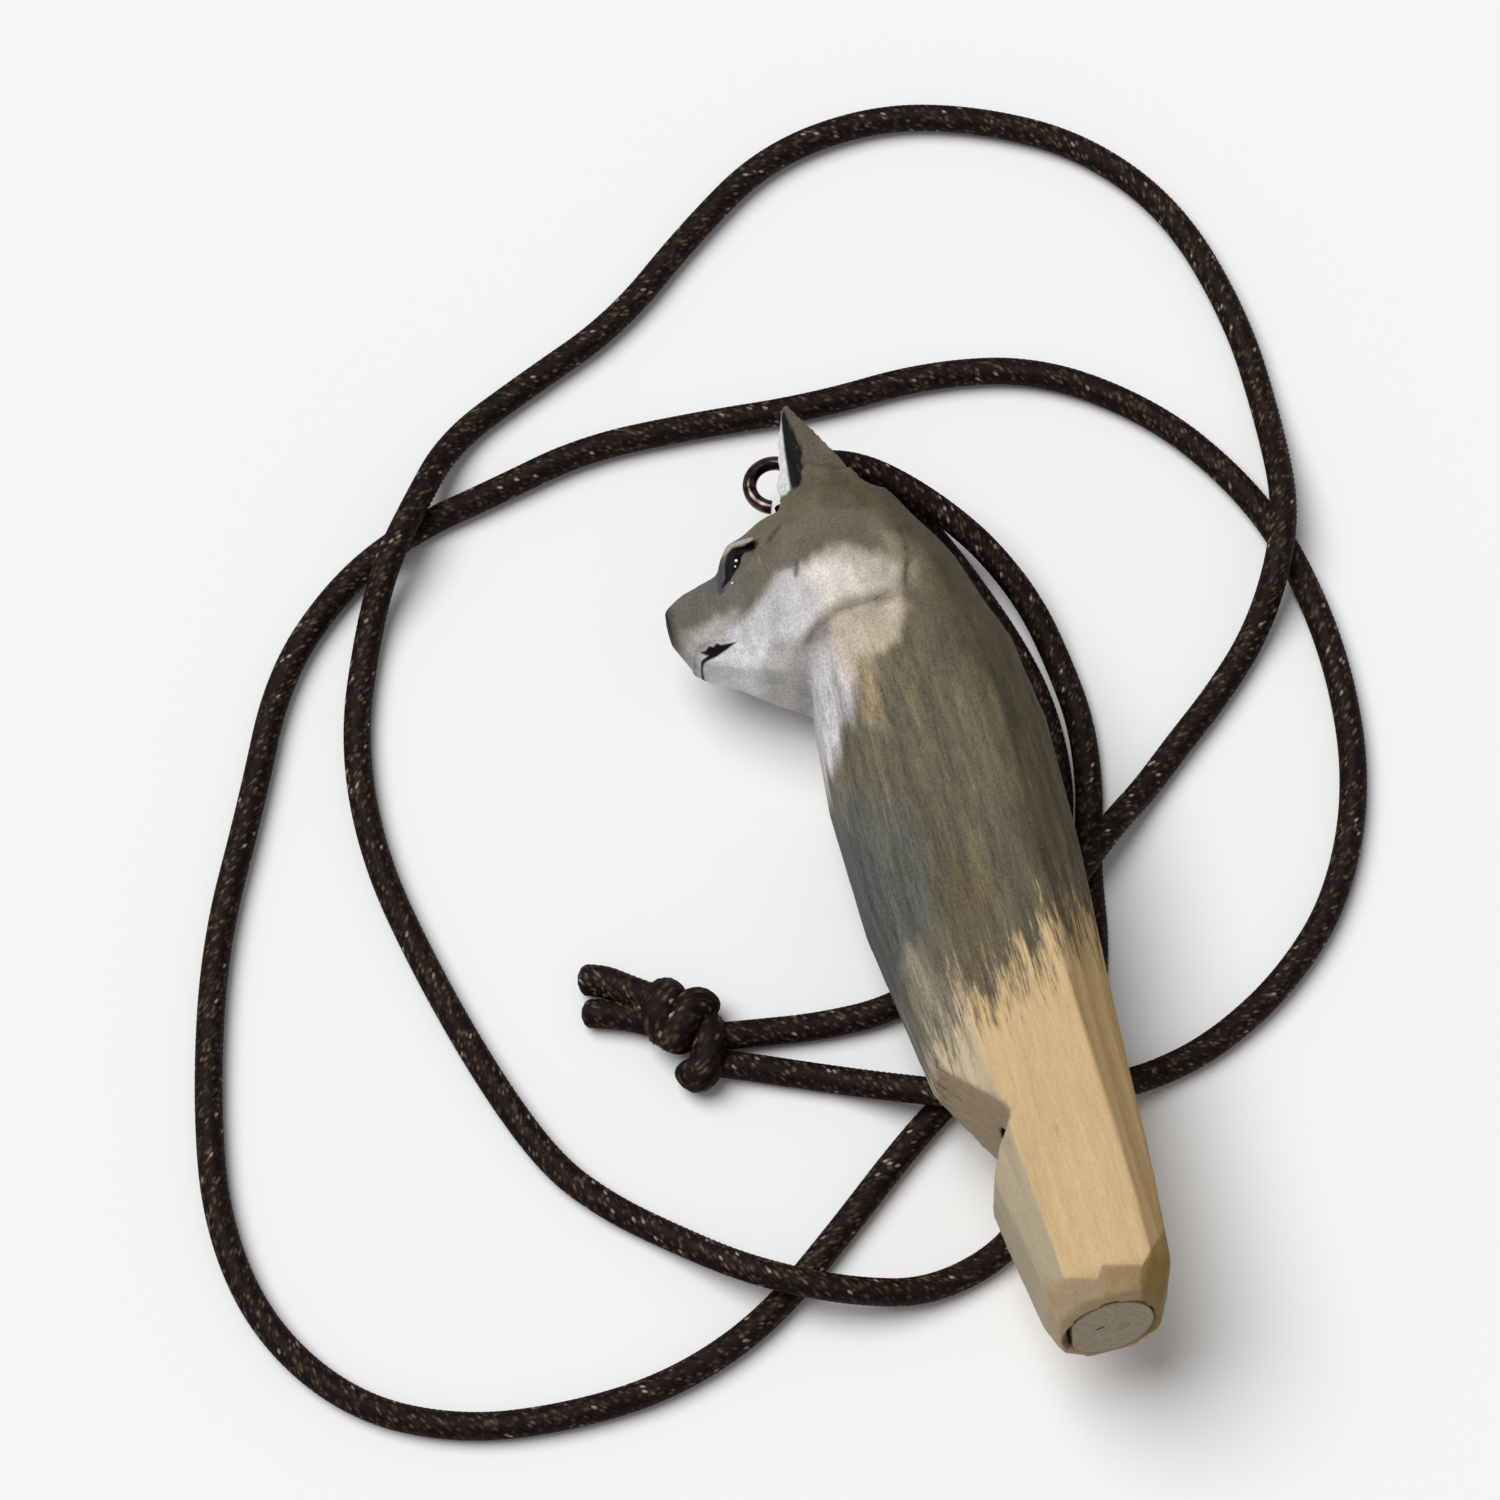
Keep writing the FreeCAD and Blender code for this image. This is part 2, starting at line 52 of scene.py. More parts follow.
# Control points of the cord's two legs, from the ring to the knot: those of the part's source,
# but closer to the ring's wire and to the strands of the knot
LONG_LEG = [
    (3, 45.1, 6.65), (-0.6, 45.1, 6.65), (-0.6, 45.5, 11.35), (3.2, 45.5, 11.35),
    (7, 44.7, 9.9), (10.8, 42.1, 8.4), (14.8, 38.1, 6.6), (17.9, 34, 4.7), (20.5, 28.3, 2.8),
    (21.6, 22.1, 1.5), (22, 15.4, 1.4), (20.9, 8.5, 1.4), (19.3, 3.5, 1.4), (17.9, -1.5, 1.4),
    (16.9, -7, 1.4), (15, -13, 1.4), (11.3, -20, 1.4),
    (5, -28.5, 1.4), (1, -35.5, 1.4), (-8.5, -38.3, 1.4), (-17, -36.8, 4.6),
    (-25.5, -32.3, 4.6), (-32, -26, 1.4), (-37, -21.5, 1.4), (-41.3, -16, 1.4), (-45, -6, 1.4),
    (-48.3, 7, 1.4), (-50.5, 20, 1.4), (-49.5, 32.5, 1.4), (-45, 44, 1.4), (-41.5, 49.5, 4.6),
    (-37.5, 54.5, 4.6), (-32, 62, 1.4), (-23, 66, 1.4), (-12, 70.5, 1.4), (-2, 78.5, 1.4),
    (8, 85, 1.4), (20, 86.5, 1.4), (30.5, 83.5, 1.4), (40.5, 77.5, 1.4), (47.5, 67.5, 1.4),
    (50.2, 54, 1.4), (50, 42.5, 1.4), (48.5, 32, 4.6), (45.5, 25, 4.6), (41.5, 19.5, 1.4),
    (36, 14.4, 1.4), (30.5, 10.2, 1.4), (26, 6.5, 1.5), (22.3, 3.7, 3.3), (18.4, 0.4, 4.6),
    (14.4, -3.2, 4.2), (10.2, -7.5, 1.6), (5, -13, 1.4), (0, -18.5, 1.4), (-7, -23, 1.4),
    (-16.5, -30.5, 1.4), (-25.5, -37, 1.4),
    (-35.5, -40.5, 1.4), (-46, -41, 1.4), (-56.5, -39.5, 1.4), (-66, -34.5, 1.4),
    (-72.5, -25, 1.4), (-74.5, -13.5, 1.4), (-72.5, -0.5, 1.4), (-68, 15, 1.4), (-61, 28.5, 1.4),
    (-55, 41.5, 1.4), (-46.5, 49.5, 1.4), (-38, 53.5, 1.4), (-29, 55.3, 1.4), (-19, 57.6, 1.4),
    (-7.5, 57.2, 1.4), (5, 56, 1.4), (17.5, 56.5, 1.4), (29, 54, 1.4), (39, 46, 1.4),
    (45, 36.5, 1.4), (48, 27.5, 1.4), (49, 14.5, 1.4), (47, 1.5, 1.4), (41.5, -9.5, 1.4),
    (34, -16.5, 1.4), (25.5, -21, 1.4), (18.5, -22.6, 1.4), (12, -23.5, 4.6), (5.5, -22.5, 4.6),
    (0, -20.7, 4.6), (-5, -18.8, 4.6), (-11, -15.2, 1.4), (-16, -13, 1.4), (-20, -11.2, 1.4),
    (-23.5, -9.9, 1.9),
]
SHORT_LEG = [
    (3, 45.1, 6.65), (7, 45.1, 6.65), (10.6, 41.6, 4.9), (13.4, 36.6, 3.1), (15.6, 31.2, 1.8),
    (17.3, 25.9, 1.4), (18.5, 20, 1.4), (18.6, 13.7, 1.4), (17.7, 7.8, 1.4), (15.6, 2.6, 1.4),
    (10, -2.3, 1.4), (2, -7, 1.4), (-5, -9.2, 1.4), (-12, -9, 1.4), (-18, -8.1, 1.5),
    (-22.6, -7.6, 2.4),
]
CORD_DIAMETER = 2.8
# The cord is pressed flat where it passes the ring's centre
RING_CENTRE = (-1.9, 45.6, 9.0)
RING_SQUEEZE = 0.58
RING_SQUEEZE_REACH = 1.7
RING_PASS_X = 1.5
RING_PASS_Y = (40, 50)

# Camera: straight above and a little toward the mouth end, with a long lens
LEAN = math.radians(15.2)
TILT = math.radians(21.0)
CAMERA_DISTANCE = 600.0
CAMERA_TARGET = Vector((-11.53, 19.76, 6.0))


# Shared helpers

def srgb(r, g, b):
    """Linear colour from 0-255 screen values."""
    def channel(v):
        v = v / 255.0
        return v / 12.92 if v <= 0.04045 else ((v + 0.055) / 1.055) ** 2.4
    return (channel(r), channel(g), channel(b))


def tone(shade):
    """Linear colour of a screen shade, as an array."""
    return np.array(srgb(*shade))


def to_carving(points):
    """Model points in millimetres to the carving frame."""
    c, s = math.cos(CARVING_PITCH), math.sin(CARVING_PITCH)
    x, y, z = (np.asarray(points) - CARVING_AT).T
    return np.stack([x, y * c - z * s, y * s + z * c], axis=1)


def from_carving(points):
    """Points in the carving frame to the model's, in millimetres."""
    c, s = math.cos(CARVING_PITCH), math.sin(CARVING_PITCH)
    x, y, z = np.asarray(points, float).T
    return np.stack([x, y * c + z * s, z * c - y * s], axis=1) + CARVING_AT


def smooth(low, high, value):
    """0 at low, 1 at high, with soft ends; low may be the larger one."""
    t = np.clip((value - low) / (high - low), 0.0, 1.0)
    return t * t * (3 - 2 * t)


def blend(first, second, amount):
    return first + (second - first) * amount


def brush_on(colours, shade, mask):
    """Colours with a shade laid over them where the mask is high."""
    return blend(colours, tone(shade), mask[:, None])


def hashed(i, j, k, seed):
    """Repeatable random values in 0..1 on a lattice."""
    n = (i * 374761393 + j * 668265263 + k * 2147483647 + seed * 974634777) & 0xFFFFFFFF
    n = ((n ^ (n >> 13)) * 1274126177) & 0xFFFFFFFF
    n = ((n ^ (n >> 16)) * 2246822519) & 0xFFFFFFFF
    return ((n ^ (n >> 15)) & 0xFFFFFF) / float(0xFFFFFF)


def value_noise(points, scale, seed):
    """Smooth noise in -1..1; scale is the cell size along each axis, in millimetres."""
    p = np.asarray(points) / np.asarray(scale, float)
    base = np.floor(p).astype(np.int64)
    f = p - base
    f = f * f * (3 - 2 * f)
    total = np.zeros(len(p))
    for corner in range(8):
        step = [(corner >> a) & 1 for a in range(3)]
        weight = np.ones(len(p))
        for a in range(3):
            weight *= f[:, a] if step[a] else 1 - f[:, a]
        cell = base + step
        total += weight * hashed(cell[:, 0], cell[:, 1], cell[:, 2], seed)
    return total * 2 - 1


def path_distance(xy, path):
    """Distance from points to a drawn path, its signed side, and how far along it they are."""
    path = np.asarray(path, float)
    best = np.full(len(xy), 1e9)
    side = np.zeros(len(xy))
    along = np.zeros(len(xy))
    walked = 0.0
    for a, b in zip(path, path[1:]):
        run = b - a
        length = np.linalg.norm(run)
        t = np.clip(((xy - a) @ run) / length ** 2, 0, 1)
        off = xy - (a + t[:, None] * run)
        d = np.linalg.norm(off, axis=1)
        near = d < best
        best[near] = d[near]
        side[near] = np.sign(run[0] * off[near, 1] - run[1] * off[near, 0])
        along[near] = walked + t[near] * length
        walked += length
    return best, side, along / walked


def inside(xy, corners):
    """Distance to a closed outline, positive inside it."""
    distance = path_distance(xy, corners + corners[:1])[0]
    within = np.zeros(len(xy), bool)
    for (x0, y0), (x1, y1) in zip(corners, corners[1:] + corners[:1]):
        if y0 == y1:
            continue
        spans = (y0 > xy[:, 1]) != (y1 > xy[:, 1])
        cut = x0 + (xy[:, 1] - y0) * (x1 - x0) / (y1 - y0)
        within ^= spans & (xy[:, 0] < cut)
    return np.where(within, distance, -distance)


def new_object(name, data):
    obj = bpy.data.objects.new(name, data)
    bpy.context.scene.collection.objects.link(obj)
    return obj


def new_mesh(name, verts, faces):
    mesh = bpy.data.meshes.new(name)
    mesh.from_pydata([tuple(v) for v in verts], [], faces)
    mesh.update()
    mesh.shade_smooth()
    return new_object(name, mesh)


def mesh_points(mesh):
    flat = np.empty(len(mesh.vertices) * 3, np.float32)
    mesh.vertices.foreach_get("co", flat)
    return flat.reshape(-1, 3).astype(float) * UNIT


def set_points(mesh, points):
    mesh.vertices.foreach_set("co", (np.asarray(points) * MM).astype(np.float32).ravel())
    mesh.update()


def mesh_normals(mesh):
    flat = np.empty(len(mesh.vertices) * 3, np.float32)
    mesh.vertex_normals.foreach_get("vector", flat)
    return flat.reshape(-1, 3).astype(float)


def set_colours(mesh, name, colours, alpha):
    """Point colours, with one more value of each point in their alpha."""
    attribute = mesh.color_attributes.new(name, "FLOAT_COLOR", "POINT")
    rgba = np.concatenate([colours, np.asarray(alpha, float)[:, None]], axis=1)
    attribute.data.foreach_set("color", rgba.astype(np.float32).ravel())


# Materials

# Brushed coat over bare wood: strength of the noise, and how steep and how ragged the fade is
COAT_SPECKLE = 1.25
WOOD_STREAK = 0.34
BARE_RAMP = 1.9
BARE_RAGGED = 2.2
# Marks on the plug's face: centre, turn, half sizes and colour; the dark last one is a split
# drawn in painted shade
PLUG_MARKS = [
    ((6.2, -49.9, 17.0), -0.4, (0.75, 0.6, 0.42), (124, 110, 92)),
    ((6.2, -49.9, 17.0), -0.4, (0.5, 0.6, 0.22), (158, 146, 126)),
    # Split drawn as a dark line of painted shade
    ((3.85, -49.7, 17.8), -0.36, (0.62, 0.6, 0.17), (52, 42, 34)),
]


def new_material(name):
    material = bpy.data.materials.new(name)
    material.use_nodes = True
    nodes = material.node_tree.nodes
    return material, nodes, material.node_tree.links, nodes["Principled BSDF"]


def add_node(nodes, kind, **values):
    node = nodes.new(kind)
    for key, value in values.items():
        if key in node.inputs:
            node.inputs[key].default_value = value
        else:
            setattr(node, key, value)
    return node


def math_node(nodes, links, operation, first, second):
    node = add_node(nodes, "ShaderNodeMath", operation=operation)
    for socket, value in zip(node.inputs, (first, second)):
        if isinstance(value, (int, float)):
            socket.default_value = value
        else:
            links.new(value, socket)
    return node.outputs[0]


def object_noise(nodes, links, scale, detail, roughness, along=1.0):
    """Noise fixed to the object, drawn out along the whistle where along is below 1."""
    place = add_node(nodes, "ShaderNodeTexCoord")
    stretch = add_node(nodes, "ShaderNodeMapping")
    stretch.inputs["Scale"].default_value = (1, along, 1)
    links.new(place.outputs["Object"], stretch.inputs["Vector"])
    noise = add_node(nodes, "ShaderNodeTexNoise", Scale=scale, Detail=detail, Roughness=roughness)
    links.new(stretch.outputs["Vector"], noise.inputs["Vector"])
    return noise.outputs["Fac"]


def grain_noise(nodes, links, scale, detail, along):
    """Noise along the grain, as a value around zero."""
    noise = object_noise(nodes, links, scale, detail, 0.65, along)
    return math_node(nodes, links, "SUBTRACT", noise, 0.5)


def scaled_colour(nodes, links, colour, level):
    tint = add_node(nodes, "ShaderNodeVectorMath", operation="SCALE")
    links.new(colour, tint.inputs[0])
    links.new(level, tint.inputs["Scale"])
    return tint.outputs["Vector"]


def streaked(nodes, links, colour, streak, strength):
    """Colour made lighter and darker by a streak value."""
    swing = math_node(nodes, links, "MULTIPLY", streak, strength)
    return scaled_colour(nodes, links, colour, math_node(nodes, links, "ADD", swing, 1.0))


def map_range(nodes, links, value, ends, results=(0.0, 1.0), kind="LINEAR"):
    """Value carried from one range to another and held at its ends."""
    node = add_node(nodes, "ShaderNodeMapRange", interpolation_type=kind)
    node.inputs["From Min"].default_value, node.inputs["From Max"].default_value = ends
    node.inputs["To Min"].default_value, node.inputs["To Max"].default_value = results
    links.new(value, node.inputs["Value"])
    return node.outputs["Result"]


def mixed_colour(nodes, links, amount, first, second):
    """Colour between two others; the second may be a plain colour."""
    mixed = add_node(nodes, "ShaderNodeMix", data_type="RGBA")
    links.new(amount, mixed.inputs[0])
    links.new(first, mixed.inputs[6])
    if isinstance(second, tuple):
        mixed.inputs[7].default_value = (*second, 1)
    else:
        links.new(second, mixed.inputs[7])
    return mixed.outputs[2]


def two_tones(nodes, links, value, first, second, ends=(0.0, 1.0)):
    """Colour that runs from one tone to another as a value rises."""
    ramp = add_node(nodes, "ShaderNodeValToRGB")
    for element, position, colour in zip(ramp.color_ramp.elements, ends, (first, second)):
        element.position = position
        element.color = (*colour, 1)
    links.new(value, ramp.inputs["Fac"])
    return ramp.outputs["Color"]


def add_bump(nodes, links, shader, height, strength, distance):
    bump = add_node(nodes, "ShaderNodeBump", Strength=strength, Distance=distance * MM)
    links.new(height, bump.inputs["Height"])
    links.new(bump.outputs["Normal"], shader.inputs["Normal"])


def set_surface(shader, roughness, specular):
    shader.inputs["Roughness"].default_value = roughness
    shader.inputs["Specular IOR Level"].default_value = specular


def wood_material():
    """Dry-brushed coat over bare wood; both colours are point colours."""
    material, nodes, links, shader = new_material("painted_basswood")
    coat = add_node(nodes, "ShaderNodeVertexColor", layer_name="coat")
    wood = add_node(nodes, "ShaderNodeVertexColor", layer_name="wood")
    fine = grain_noise(nodes, links, 3600.0, 4.0, 0.11)
    broad = grain_noise(nodes, links, 1200.0, 3.0, 0.09)
    speckle = grain_noise(nodes, links, 4200.0, 3.0, 0.8)
    both = math_node(nodes, links, "ADD", fine, broad)
    brushed = math_node(nodes, links, "ADD", both, speckle)
    strokes = math_node(nodes, links, "MULTIPLY", both, coat.outputs["Alpha"])
    specks = math_node(nodes, links, "MULTIPLY", speckle, COAT_SPECKLE)
    coat_swing = math_node(nodes, links, "ADD", strokes, specks)
    coat_colour = streaked(nodes, links, coat.outputs["Color"], coat_swing, 1.0)
    wood_colour = streaked(nodes, links, wood.outputs["Color"], brushed, WOOD_STREAK)

    centred = math_node(nodes, links, "SUBTRACT", wood.outputs["Alpha"], 0.5)
    ramp = math_node(nodes, links, "MULTIPLY", centred, BARE_RAMP)
    ragged = math_node(nodes, links, "MULTIPLY", both, BARE_RAGGED)
    bare = map_range(nodes, links, math_node(nodes, links, "ADD", ramp, ragged), (-0.5, 0.5),
                     kind="SMOOTHSTEP")
    links.new(mixed_colour(nodes, links, bare, coat_colour, wood_colour),
              shader.inputs["Base Color"])
    add_bump(nodes, links, shader, brushed, 0.45, 0.1)
    set_surface(shader, roughness=0.67, specular=0.16)
    return material


def cord_material():
    """Dark braid: each carrier's tone, with painted shade in its gaps and painted highlights, is
    a point colour, with fibres as fine noise.
    """
    material, nodes, links, shader = new_material("dark_braid")
    strand = add_node(nodes, "ShaderNodeVertexColor", layer_name="strand")
    fibre = object_noise(nodes, links, 3600.0, 3.0, 0.7)
    level = map_range(nodes, links, fibre, (0.35, 0.65), (0.45, 1.55))
    links.new(scaled_colour(nodes, links, strand.outputs["Color"], level),
              shader.inputs["Base Color"])
    add_bump(nodes, links, shader, fibre, 0.5, 0.08)
    set_surface(shader, roughness=0.62, specular=0.12)
    return material


def metal_material():
    """Bright wire whose colour is a painted dark, brownish reflection, in patches."""
    material, nodes, links, shader = new_material("plated_wire")
    reflection_patches = object_noise(nodes, links, 900.0, 3.0, 0.6)
    # Painted reflection: dark brownish patches in the wire's colour
    colour = two_tones(nodes, links, reflection_patches, srgb(38, 27, 25), srgb(112, 98, 94), (0.35, 0.7))
    links.new(colour, shader.inputs["Base Color"])
    shader.inputs["Metallic"].default_value = 1.0
    shader.inputs["Roughness"].default_value = 0.16
    return material


def spot_mask(nodes, links, centre, turn, size):
    """1 inside a small ellipse drawn on the object, 0 outside."""
    place = add_node(nodes, "ShaderNodeTexCoord")
    fit = add_node(nodes, "ShaderNodeMapping", vector_type="TEXTURE")
    fit.inputs["Location"].default_value = [v * MM for v in centre]
    fit.inputs["Rotation"].default_value = (0, turn, 0)
    fit.inputs["Scale"].default_value = [v * MM for v in size]
    links.new(place.outputs["Object"], fit.inputs["Vector"])
    length = add_node(nodes, "ShaderNodeVectorMath", operation="LENGTH")
    links.new(fit.outputs["Vector"], length.inputs[0])
    return map_range(nodes, links, length.outputs["Value"], (1.0, 0.6), kind="SMOOTHSTEP")


def plug_material():
    """Sawn end grain with a faint ring on its face and a split drawn in painted shade."""
    material, nodes, links, shader = new_material("end_grain")
    pores = object_noise(nodes, links, 2600.0, 5.0, 0.75)
    colour = two_tones(nodes, links, pores, srgb(136, 123, 104), srgb(172, 161, 141), (0.3, 0.72))
    for centre, turn, size, shade in PLUG_MARKS:
        mask = spot_mask(nodes, links, centre, turn, size)
        colour = mixed_colour(nodes, links, mask, colour, srgb(*shade))
    links.new(colour, shader.inputs["Base Color"])
    add_bump(nodes, links, shader, pores, 0.4, 0.1)
    set_surface(shader, roughness=0.8, specular=0.2)
    return material


def eye_white_material():
    """Brushed dot of white paint, a little uneven."""
    material, nodes, links, shader = new_material("eye_white")
    uneven = object_noise(nodes, links, 5000.0, 2.0, 0.5)
    white = srgb(238, 236, 232)
    colour = two_tones(nodes, links, uneven, tuple(c * 0.8 for c in white), white)
    links.new(colour, shader.inputs["Base Color"])
    shader.inputs["Roughness"].default_value = 0.35
    return material


def floor_material():
    material, _, _, shader = new_material("white_table")
    shader.inputs["Base Color"].default_value = (0.88, 0.88, 0.88, 1)
    set_surface(shader, roughness=1.0, specular=0.0)
    return material


# Neck cord

# Points around the braid, their distance along it, the depth between its carriers, and the
# length of a strand's rounded end
BRAID_ROUND = 32
BRAID_STEP = 0.32
BRAID_RELIEF = 0.15
END_DOME = 1.3
# Carrier colours: painted shade in the gaps, the plain tone, painted highlights on lit threads
# and glints
STRAND_GAP_SHADE = srgb(9, 5, 4)
STRAND_PLAIN = srgb(30, 16, 11)
STRAND_LIT = srgb(108, 90, 68)
STRAND_GLINT = srgb(172, 153, 142)
LIT_SHARE = 0.24
GLINT_SHARE = 0.012


def spline_object(name, points):
    """Smooth NURBS line through the route's control points."""
    data = bpy.data.curves.new(name, "CURVE")
    data.dimensions = "3D"
    data.resolution_u = 16
    spline = data.splines.new("NURBS")
    spline.points.add(len(points) - 1)
    for point, (x, y, z) in zip(spline.points, points):
        point.co = (x * MM, (y + LOOP_ALONG) * MM, z * MM, 1)
    spline.order_u = 3
    spline.use_endpoint_u = True
    return new_object(name, data)


def spline_points(name, points):
    """Points of the smooth line, in millimetres."""
    curve = spline_object(name, points)
    bpy.context.view_layer.update()
    mesh = bpy.data.meshes.new_from_object(curve)
    found = mesh_points(mesh)
    bpy.data.objects.remove(curve)
    bpy.data.meshes.remove(mesh)
    return found


def even_points(points, step):
    """Points at even distances along a line."""
    gaps = np.linalg.norm(np.diff(points, axis=0), axis=1)
    walked = np.concatenate([[0], np.cumsum(gaps)])
    count = max(2, int(round(walked[-1] / step)) + 1)
    marks = np.linspace(0, walked[-1], count)
    return np.stack([np.interp(marks, walked, points[:, a]) for a in range(3)], axis=1)


def carried_frames(points):
    """Two normals at each point that don't twist along the line."""
    tangents = np.gradient(points, axis=0)
    tangents /= np.linalg.norm(tangents, axis=1)[:, None]
    first = np.cross(tangents[0], (0.0, 0.0, 1.0))
    if np.linalg.norm(first) < 1e-3:
        first = np.cross(tangents[0], (0.0, 1.0, 0.0))
    normals = np.empty_like(points)
    normals[0] = first / np.linalg.norm(first)
    for i in range(1, len(points)):
        n = normals[i - 1] - tangents[i] * np.dot(normals[i - 1], tangents[i])
        normals[i] = n / np.linalg.norm(n)
    return normals, np.cross(tangents, normals)


def strand_colours(low, seed):
    """Painted shade in the recessed gaps, plain carriers, and painted highlights on single
    threads that catch the light.
    """
    rows, cols = np.indices(low.shape)
    chance = hashed(rows, cols, 0 * rows, seed)
    shade = hashed(rows, cols, 0 * rows, seed + 1)
    colours = np.array(STRAND_PLAIN) * (0.35 + 1.2 * shade[..., None])
    lit = chance < LIT_SHARE
    # Painted highlights on threads that catch the light and on single glints
    colours[lit] = np.array(STRAND_LIT) * (0.15 + 0.95 * shade[lit][:, None] ** 2)
    colours[(shade > 1 - GLINT_SHARE) & (low == 0)] = STRAND_GLINT
    # Painted shade in the recessed gaps between carriers
    colours[low == 1] = blend(colours[low == 1], np.array(STRAND_GAP_SHADE), 0.55)
    return colours.reshape(-1, 3)


def rounded_ends(count, ends):
    """Radius factors that close a strand with a dome at its start, its end, both or neither."""
    factor = np.ones(count)
    dome = max(3, int(round(END_DOME / BRAID_STEP)))
    curve = np.sqrt(1 - (1 - np.linspace(0.05, 1, dome)) ** 2)
    if ends in ("start", "both"):
        factor[:dome] = curve
    if ends in ("end", "both"):
        factor[-dome:] = curve[::-1]
    return factor


def braid_geometry(points, radius, seed, ends="none"):
    """Tube whose vertices stand high and low by turns, like the carriers of a fine braid."""
    points = even_points(points, BRAID_STEP)
    count = len(points)
    across, up = carried_frames(points)
    angles = 2 * math.pi * np.arange(BRAID_ROUND) / BRAID_ROUND
    low = (np.arange(count)[:, None] + np.arange(BRAID_ROUND)[None, :]) % 2
    reach = radius * rounded_ends(count, ends)[:, None] - BRAID_RELIEF * low
    reach = np.maximum(reach, 0.05)
    offsets = (across[:, None, :] * (np.cos(angles)[None, :] * reach)[:, :, None]
               + up[:, None, :] * (np.sin(angles)[None, :] * reach)[:, :, None])
    verts = (points[:, None, :] + offsets).reshape(-1, 3)
    faces = []
    for row in range(count - 1):
        base = row * BRAID_ROUND
        for k in range(BRAID_ROUND):
            n = (k + 1) % BRAID_ROUND
            faces.append((base + k, base + n, base + BRAID_ROUND + n, base + BRAID_ROUND + k))
    faces.append(tuple(range(BRAID_ROUND - 1, -1, -1)))
    last = (count - 1) * BRAID_ROUND
    faces.append(tuple(range(last, last + BRAID_ROUND)))
    return verts, faces, strand_colours(low, seed), points


def squeeze_at_ring(verts, centres):
    """Flatten the cord where it lies against the ring's wire."""
    centres = np.repeat(centres, BRAID_ROUND, axis=0)
    near = np.exp(-((centres[:, 2] - RING_CENTRE[2]) / RING_SQUEEZE_REACH) ** 2)
    near *= centres[:, 0] < RING_PASS_X
    near *= (centres[:, 1] > RING_PASS_Y[0]) & (centres[:, 1] < RING_PASS_Y[1])
    squeezed = verts.copy()
    squeezed[:, 0] = centres[:, 0] + (verts[:, 0] - centres[:, 0]) * (1 - RING_SQUEEZE * near)
    return squeezed


def make_leg(name, node, route, material, seed):
    """One leg of the neck cord, from the ring to the knot."""
    line = spline_points(name + "_line", route)
    verts, faces, colours, centres = braid_geometry(line, CORD_DIAMETER / 2, seed)
    verts = squeeze_at_ring(verts, centres)
    leg = new_mesh(name, verts * MM, faces)
    set_colours(leg.data, "strand", colours, np.ones(len(colours)))
    leg.data.materials.append(material)
    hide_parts(node)
    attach(leg, "root")


# Knot: each strand's points, thickness and closed ends
KNOT_STRANDS = [
    ([(-24.6, -4.0, 2.2), (-27.7, -2.1, 2.4), (-30.0, -0.2, 2.0), (-31.8, 1.3, 1.8),
      (-34.0, 1.9, 1.65)], 1.6, "end"),
    ([(-24.6, -6.4, 2.0), (-28.2, -4.2, 1.9), (-31.0, -2.6, 1.6), (-34.5, -1.5, 1.5)],
     1.48, "end"),
    ([(-25.6, -3.4, 1.9), (-25.8, -2.0, 2.8), (-26.9, -3.2, 4.1), (-27.5, -5.2, 3.9),
      (-26.8, -6.7, 2.3)], 1.85, "both"),
    ([(-22.6, -5.2, 2.0), (-22.9, -4.2, 3.1), (-24.3, -4.6, 4.1), (-26.0, -6.5, 3.9),
      (-27.0, -7.9, 2.4)], 1.9, "both"),
    ([(-22.8, -5.6, 2.2), (-22.9, -7.4, 3.2), (-23.8, -9.7, 3.3), (-24.5, -11.0, 2.7),
      (-25.5, -11.2, 2.1), (-25.8, -9.2, 2.0)], 1.75, "both"),
]


def make_knot(material):
    """Overhand knot with its two tails, as one mesh of braided strands."""
    verts, faces, colours, start = [], [], [], 0
    for index, (points, radius, ends) in enumerate(KNOT_STRANDS):
        line = spline_points("knot_line", points)
        v, f, c, _ = braid_geometry(line, radius, 40 + index, ends)
        verts.append(v)
        colours.append(c)
        faces += [tuple(i + start for i in face) for face in f]
        start += len(v)
    knot = new_mesh("neck_cord_knot", np.concatenate(verts) * MM, faces)
    set_colours(knot.data, "strand", np.concatenate(colours), np.ones(start))
    knot.data.materials.append(material)
    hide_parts("cord_knot")
    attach(knot, "root")


# Carving: drawn lines and outlines on the flanks, as (x, y) in the carving frame

CHEEK_CREASE = [(1.1, 77.1), (-1.2, 76.9), (-3.8, 77.0), (-6.1, 76.8), (-8.1, 75.9),
                (-10.3, 74.3)]
RUFF_EDGE = [(2.6, 84.6), (2.8, 82.7), (2.6, 80.8), (1.9, 79.0), (1.3, 77.4), (1.0, 75.6)]
EAR_CREASE = [(-4.5, 94.4), (-2.6, 93.5), (-1.6, 93.0), (0.4, 92.9)]
BROW_NICKS = [[(-10.0, 86.6), (-8.5, 88.0)], [(-8.1, 83.3), (-8.4, 81.8)]]
EYE = [(-12.9, 88.0), (-11.2, 87.6), (-11.2, 87.25), (-12.4, 87.35), (-12.75, 87.0),
       (-12.95, 86.4), (-13.3, 85.9), (-14.0, 85.3), (-14.5, 84.8), (-15.6, 84.4),
       (-14.9, 85.4), (-14.6, 86.8), (-14.1, 87.7), (-13.5, 88.05)]
EYEBALL = (-13.7, 86.6)
BROW_RIDGE = [(-15.2, 87.6), (-13.8, 88.7), (-12.2, 88.9), (-10.6, 88.1)]
LID_HIGHLIGHT = [(-14.2, 88.2), (-13.4, 88.5), (-12.6, 88.4), (-11.6, 88.0)]
UNDER_EYE = [(-15.6, 84.2), (-15.2, 86.0), (-14.9, 87.4)]
EYE_GLINTS = [((-13.4, 86.55), 0.17), ((-13.65, 86.0), 0.11), ((-14.4, 84.4), 0.13)]
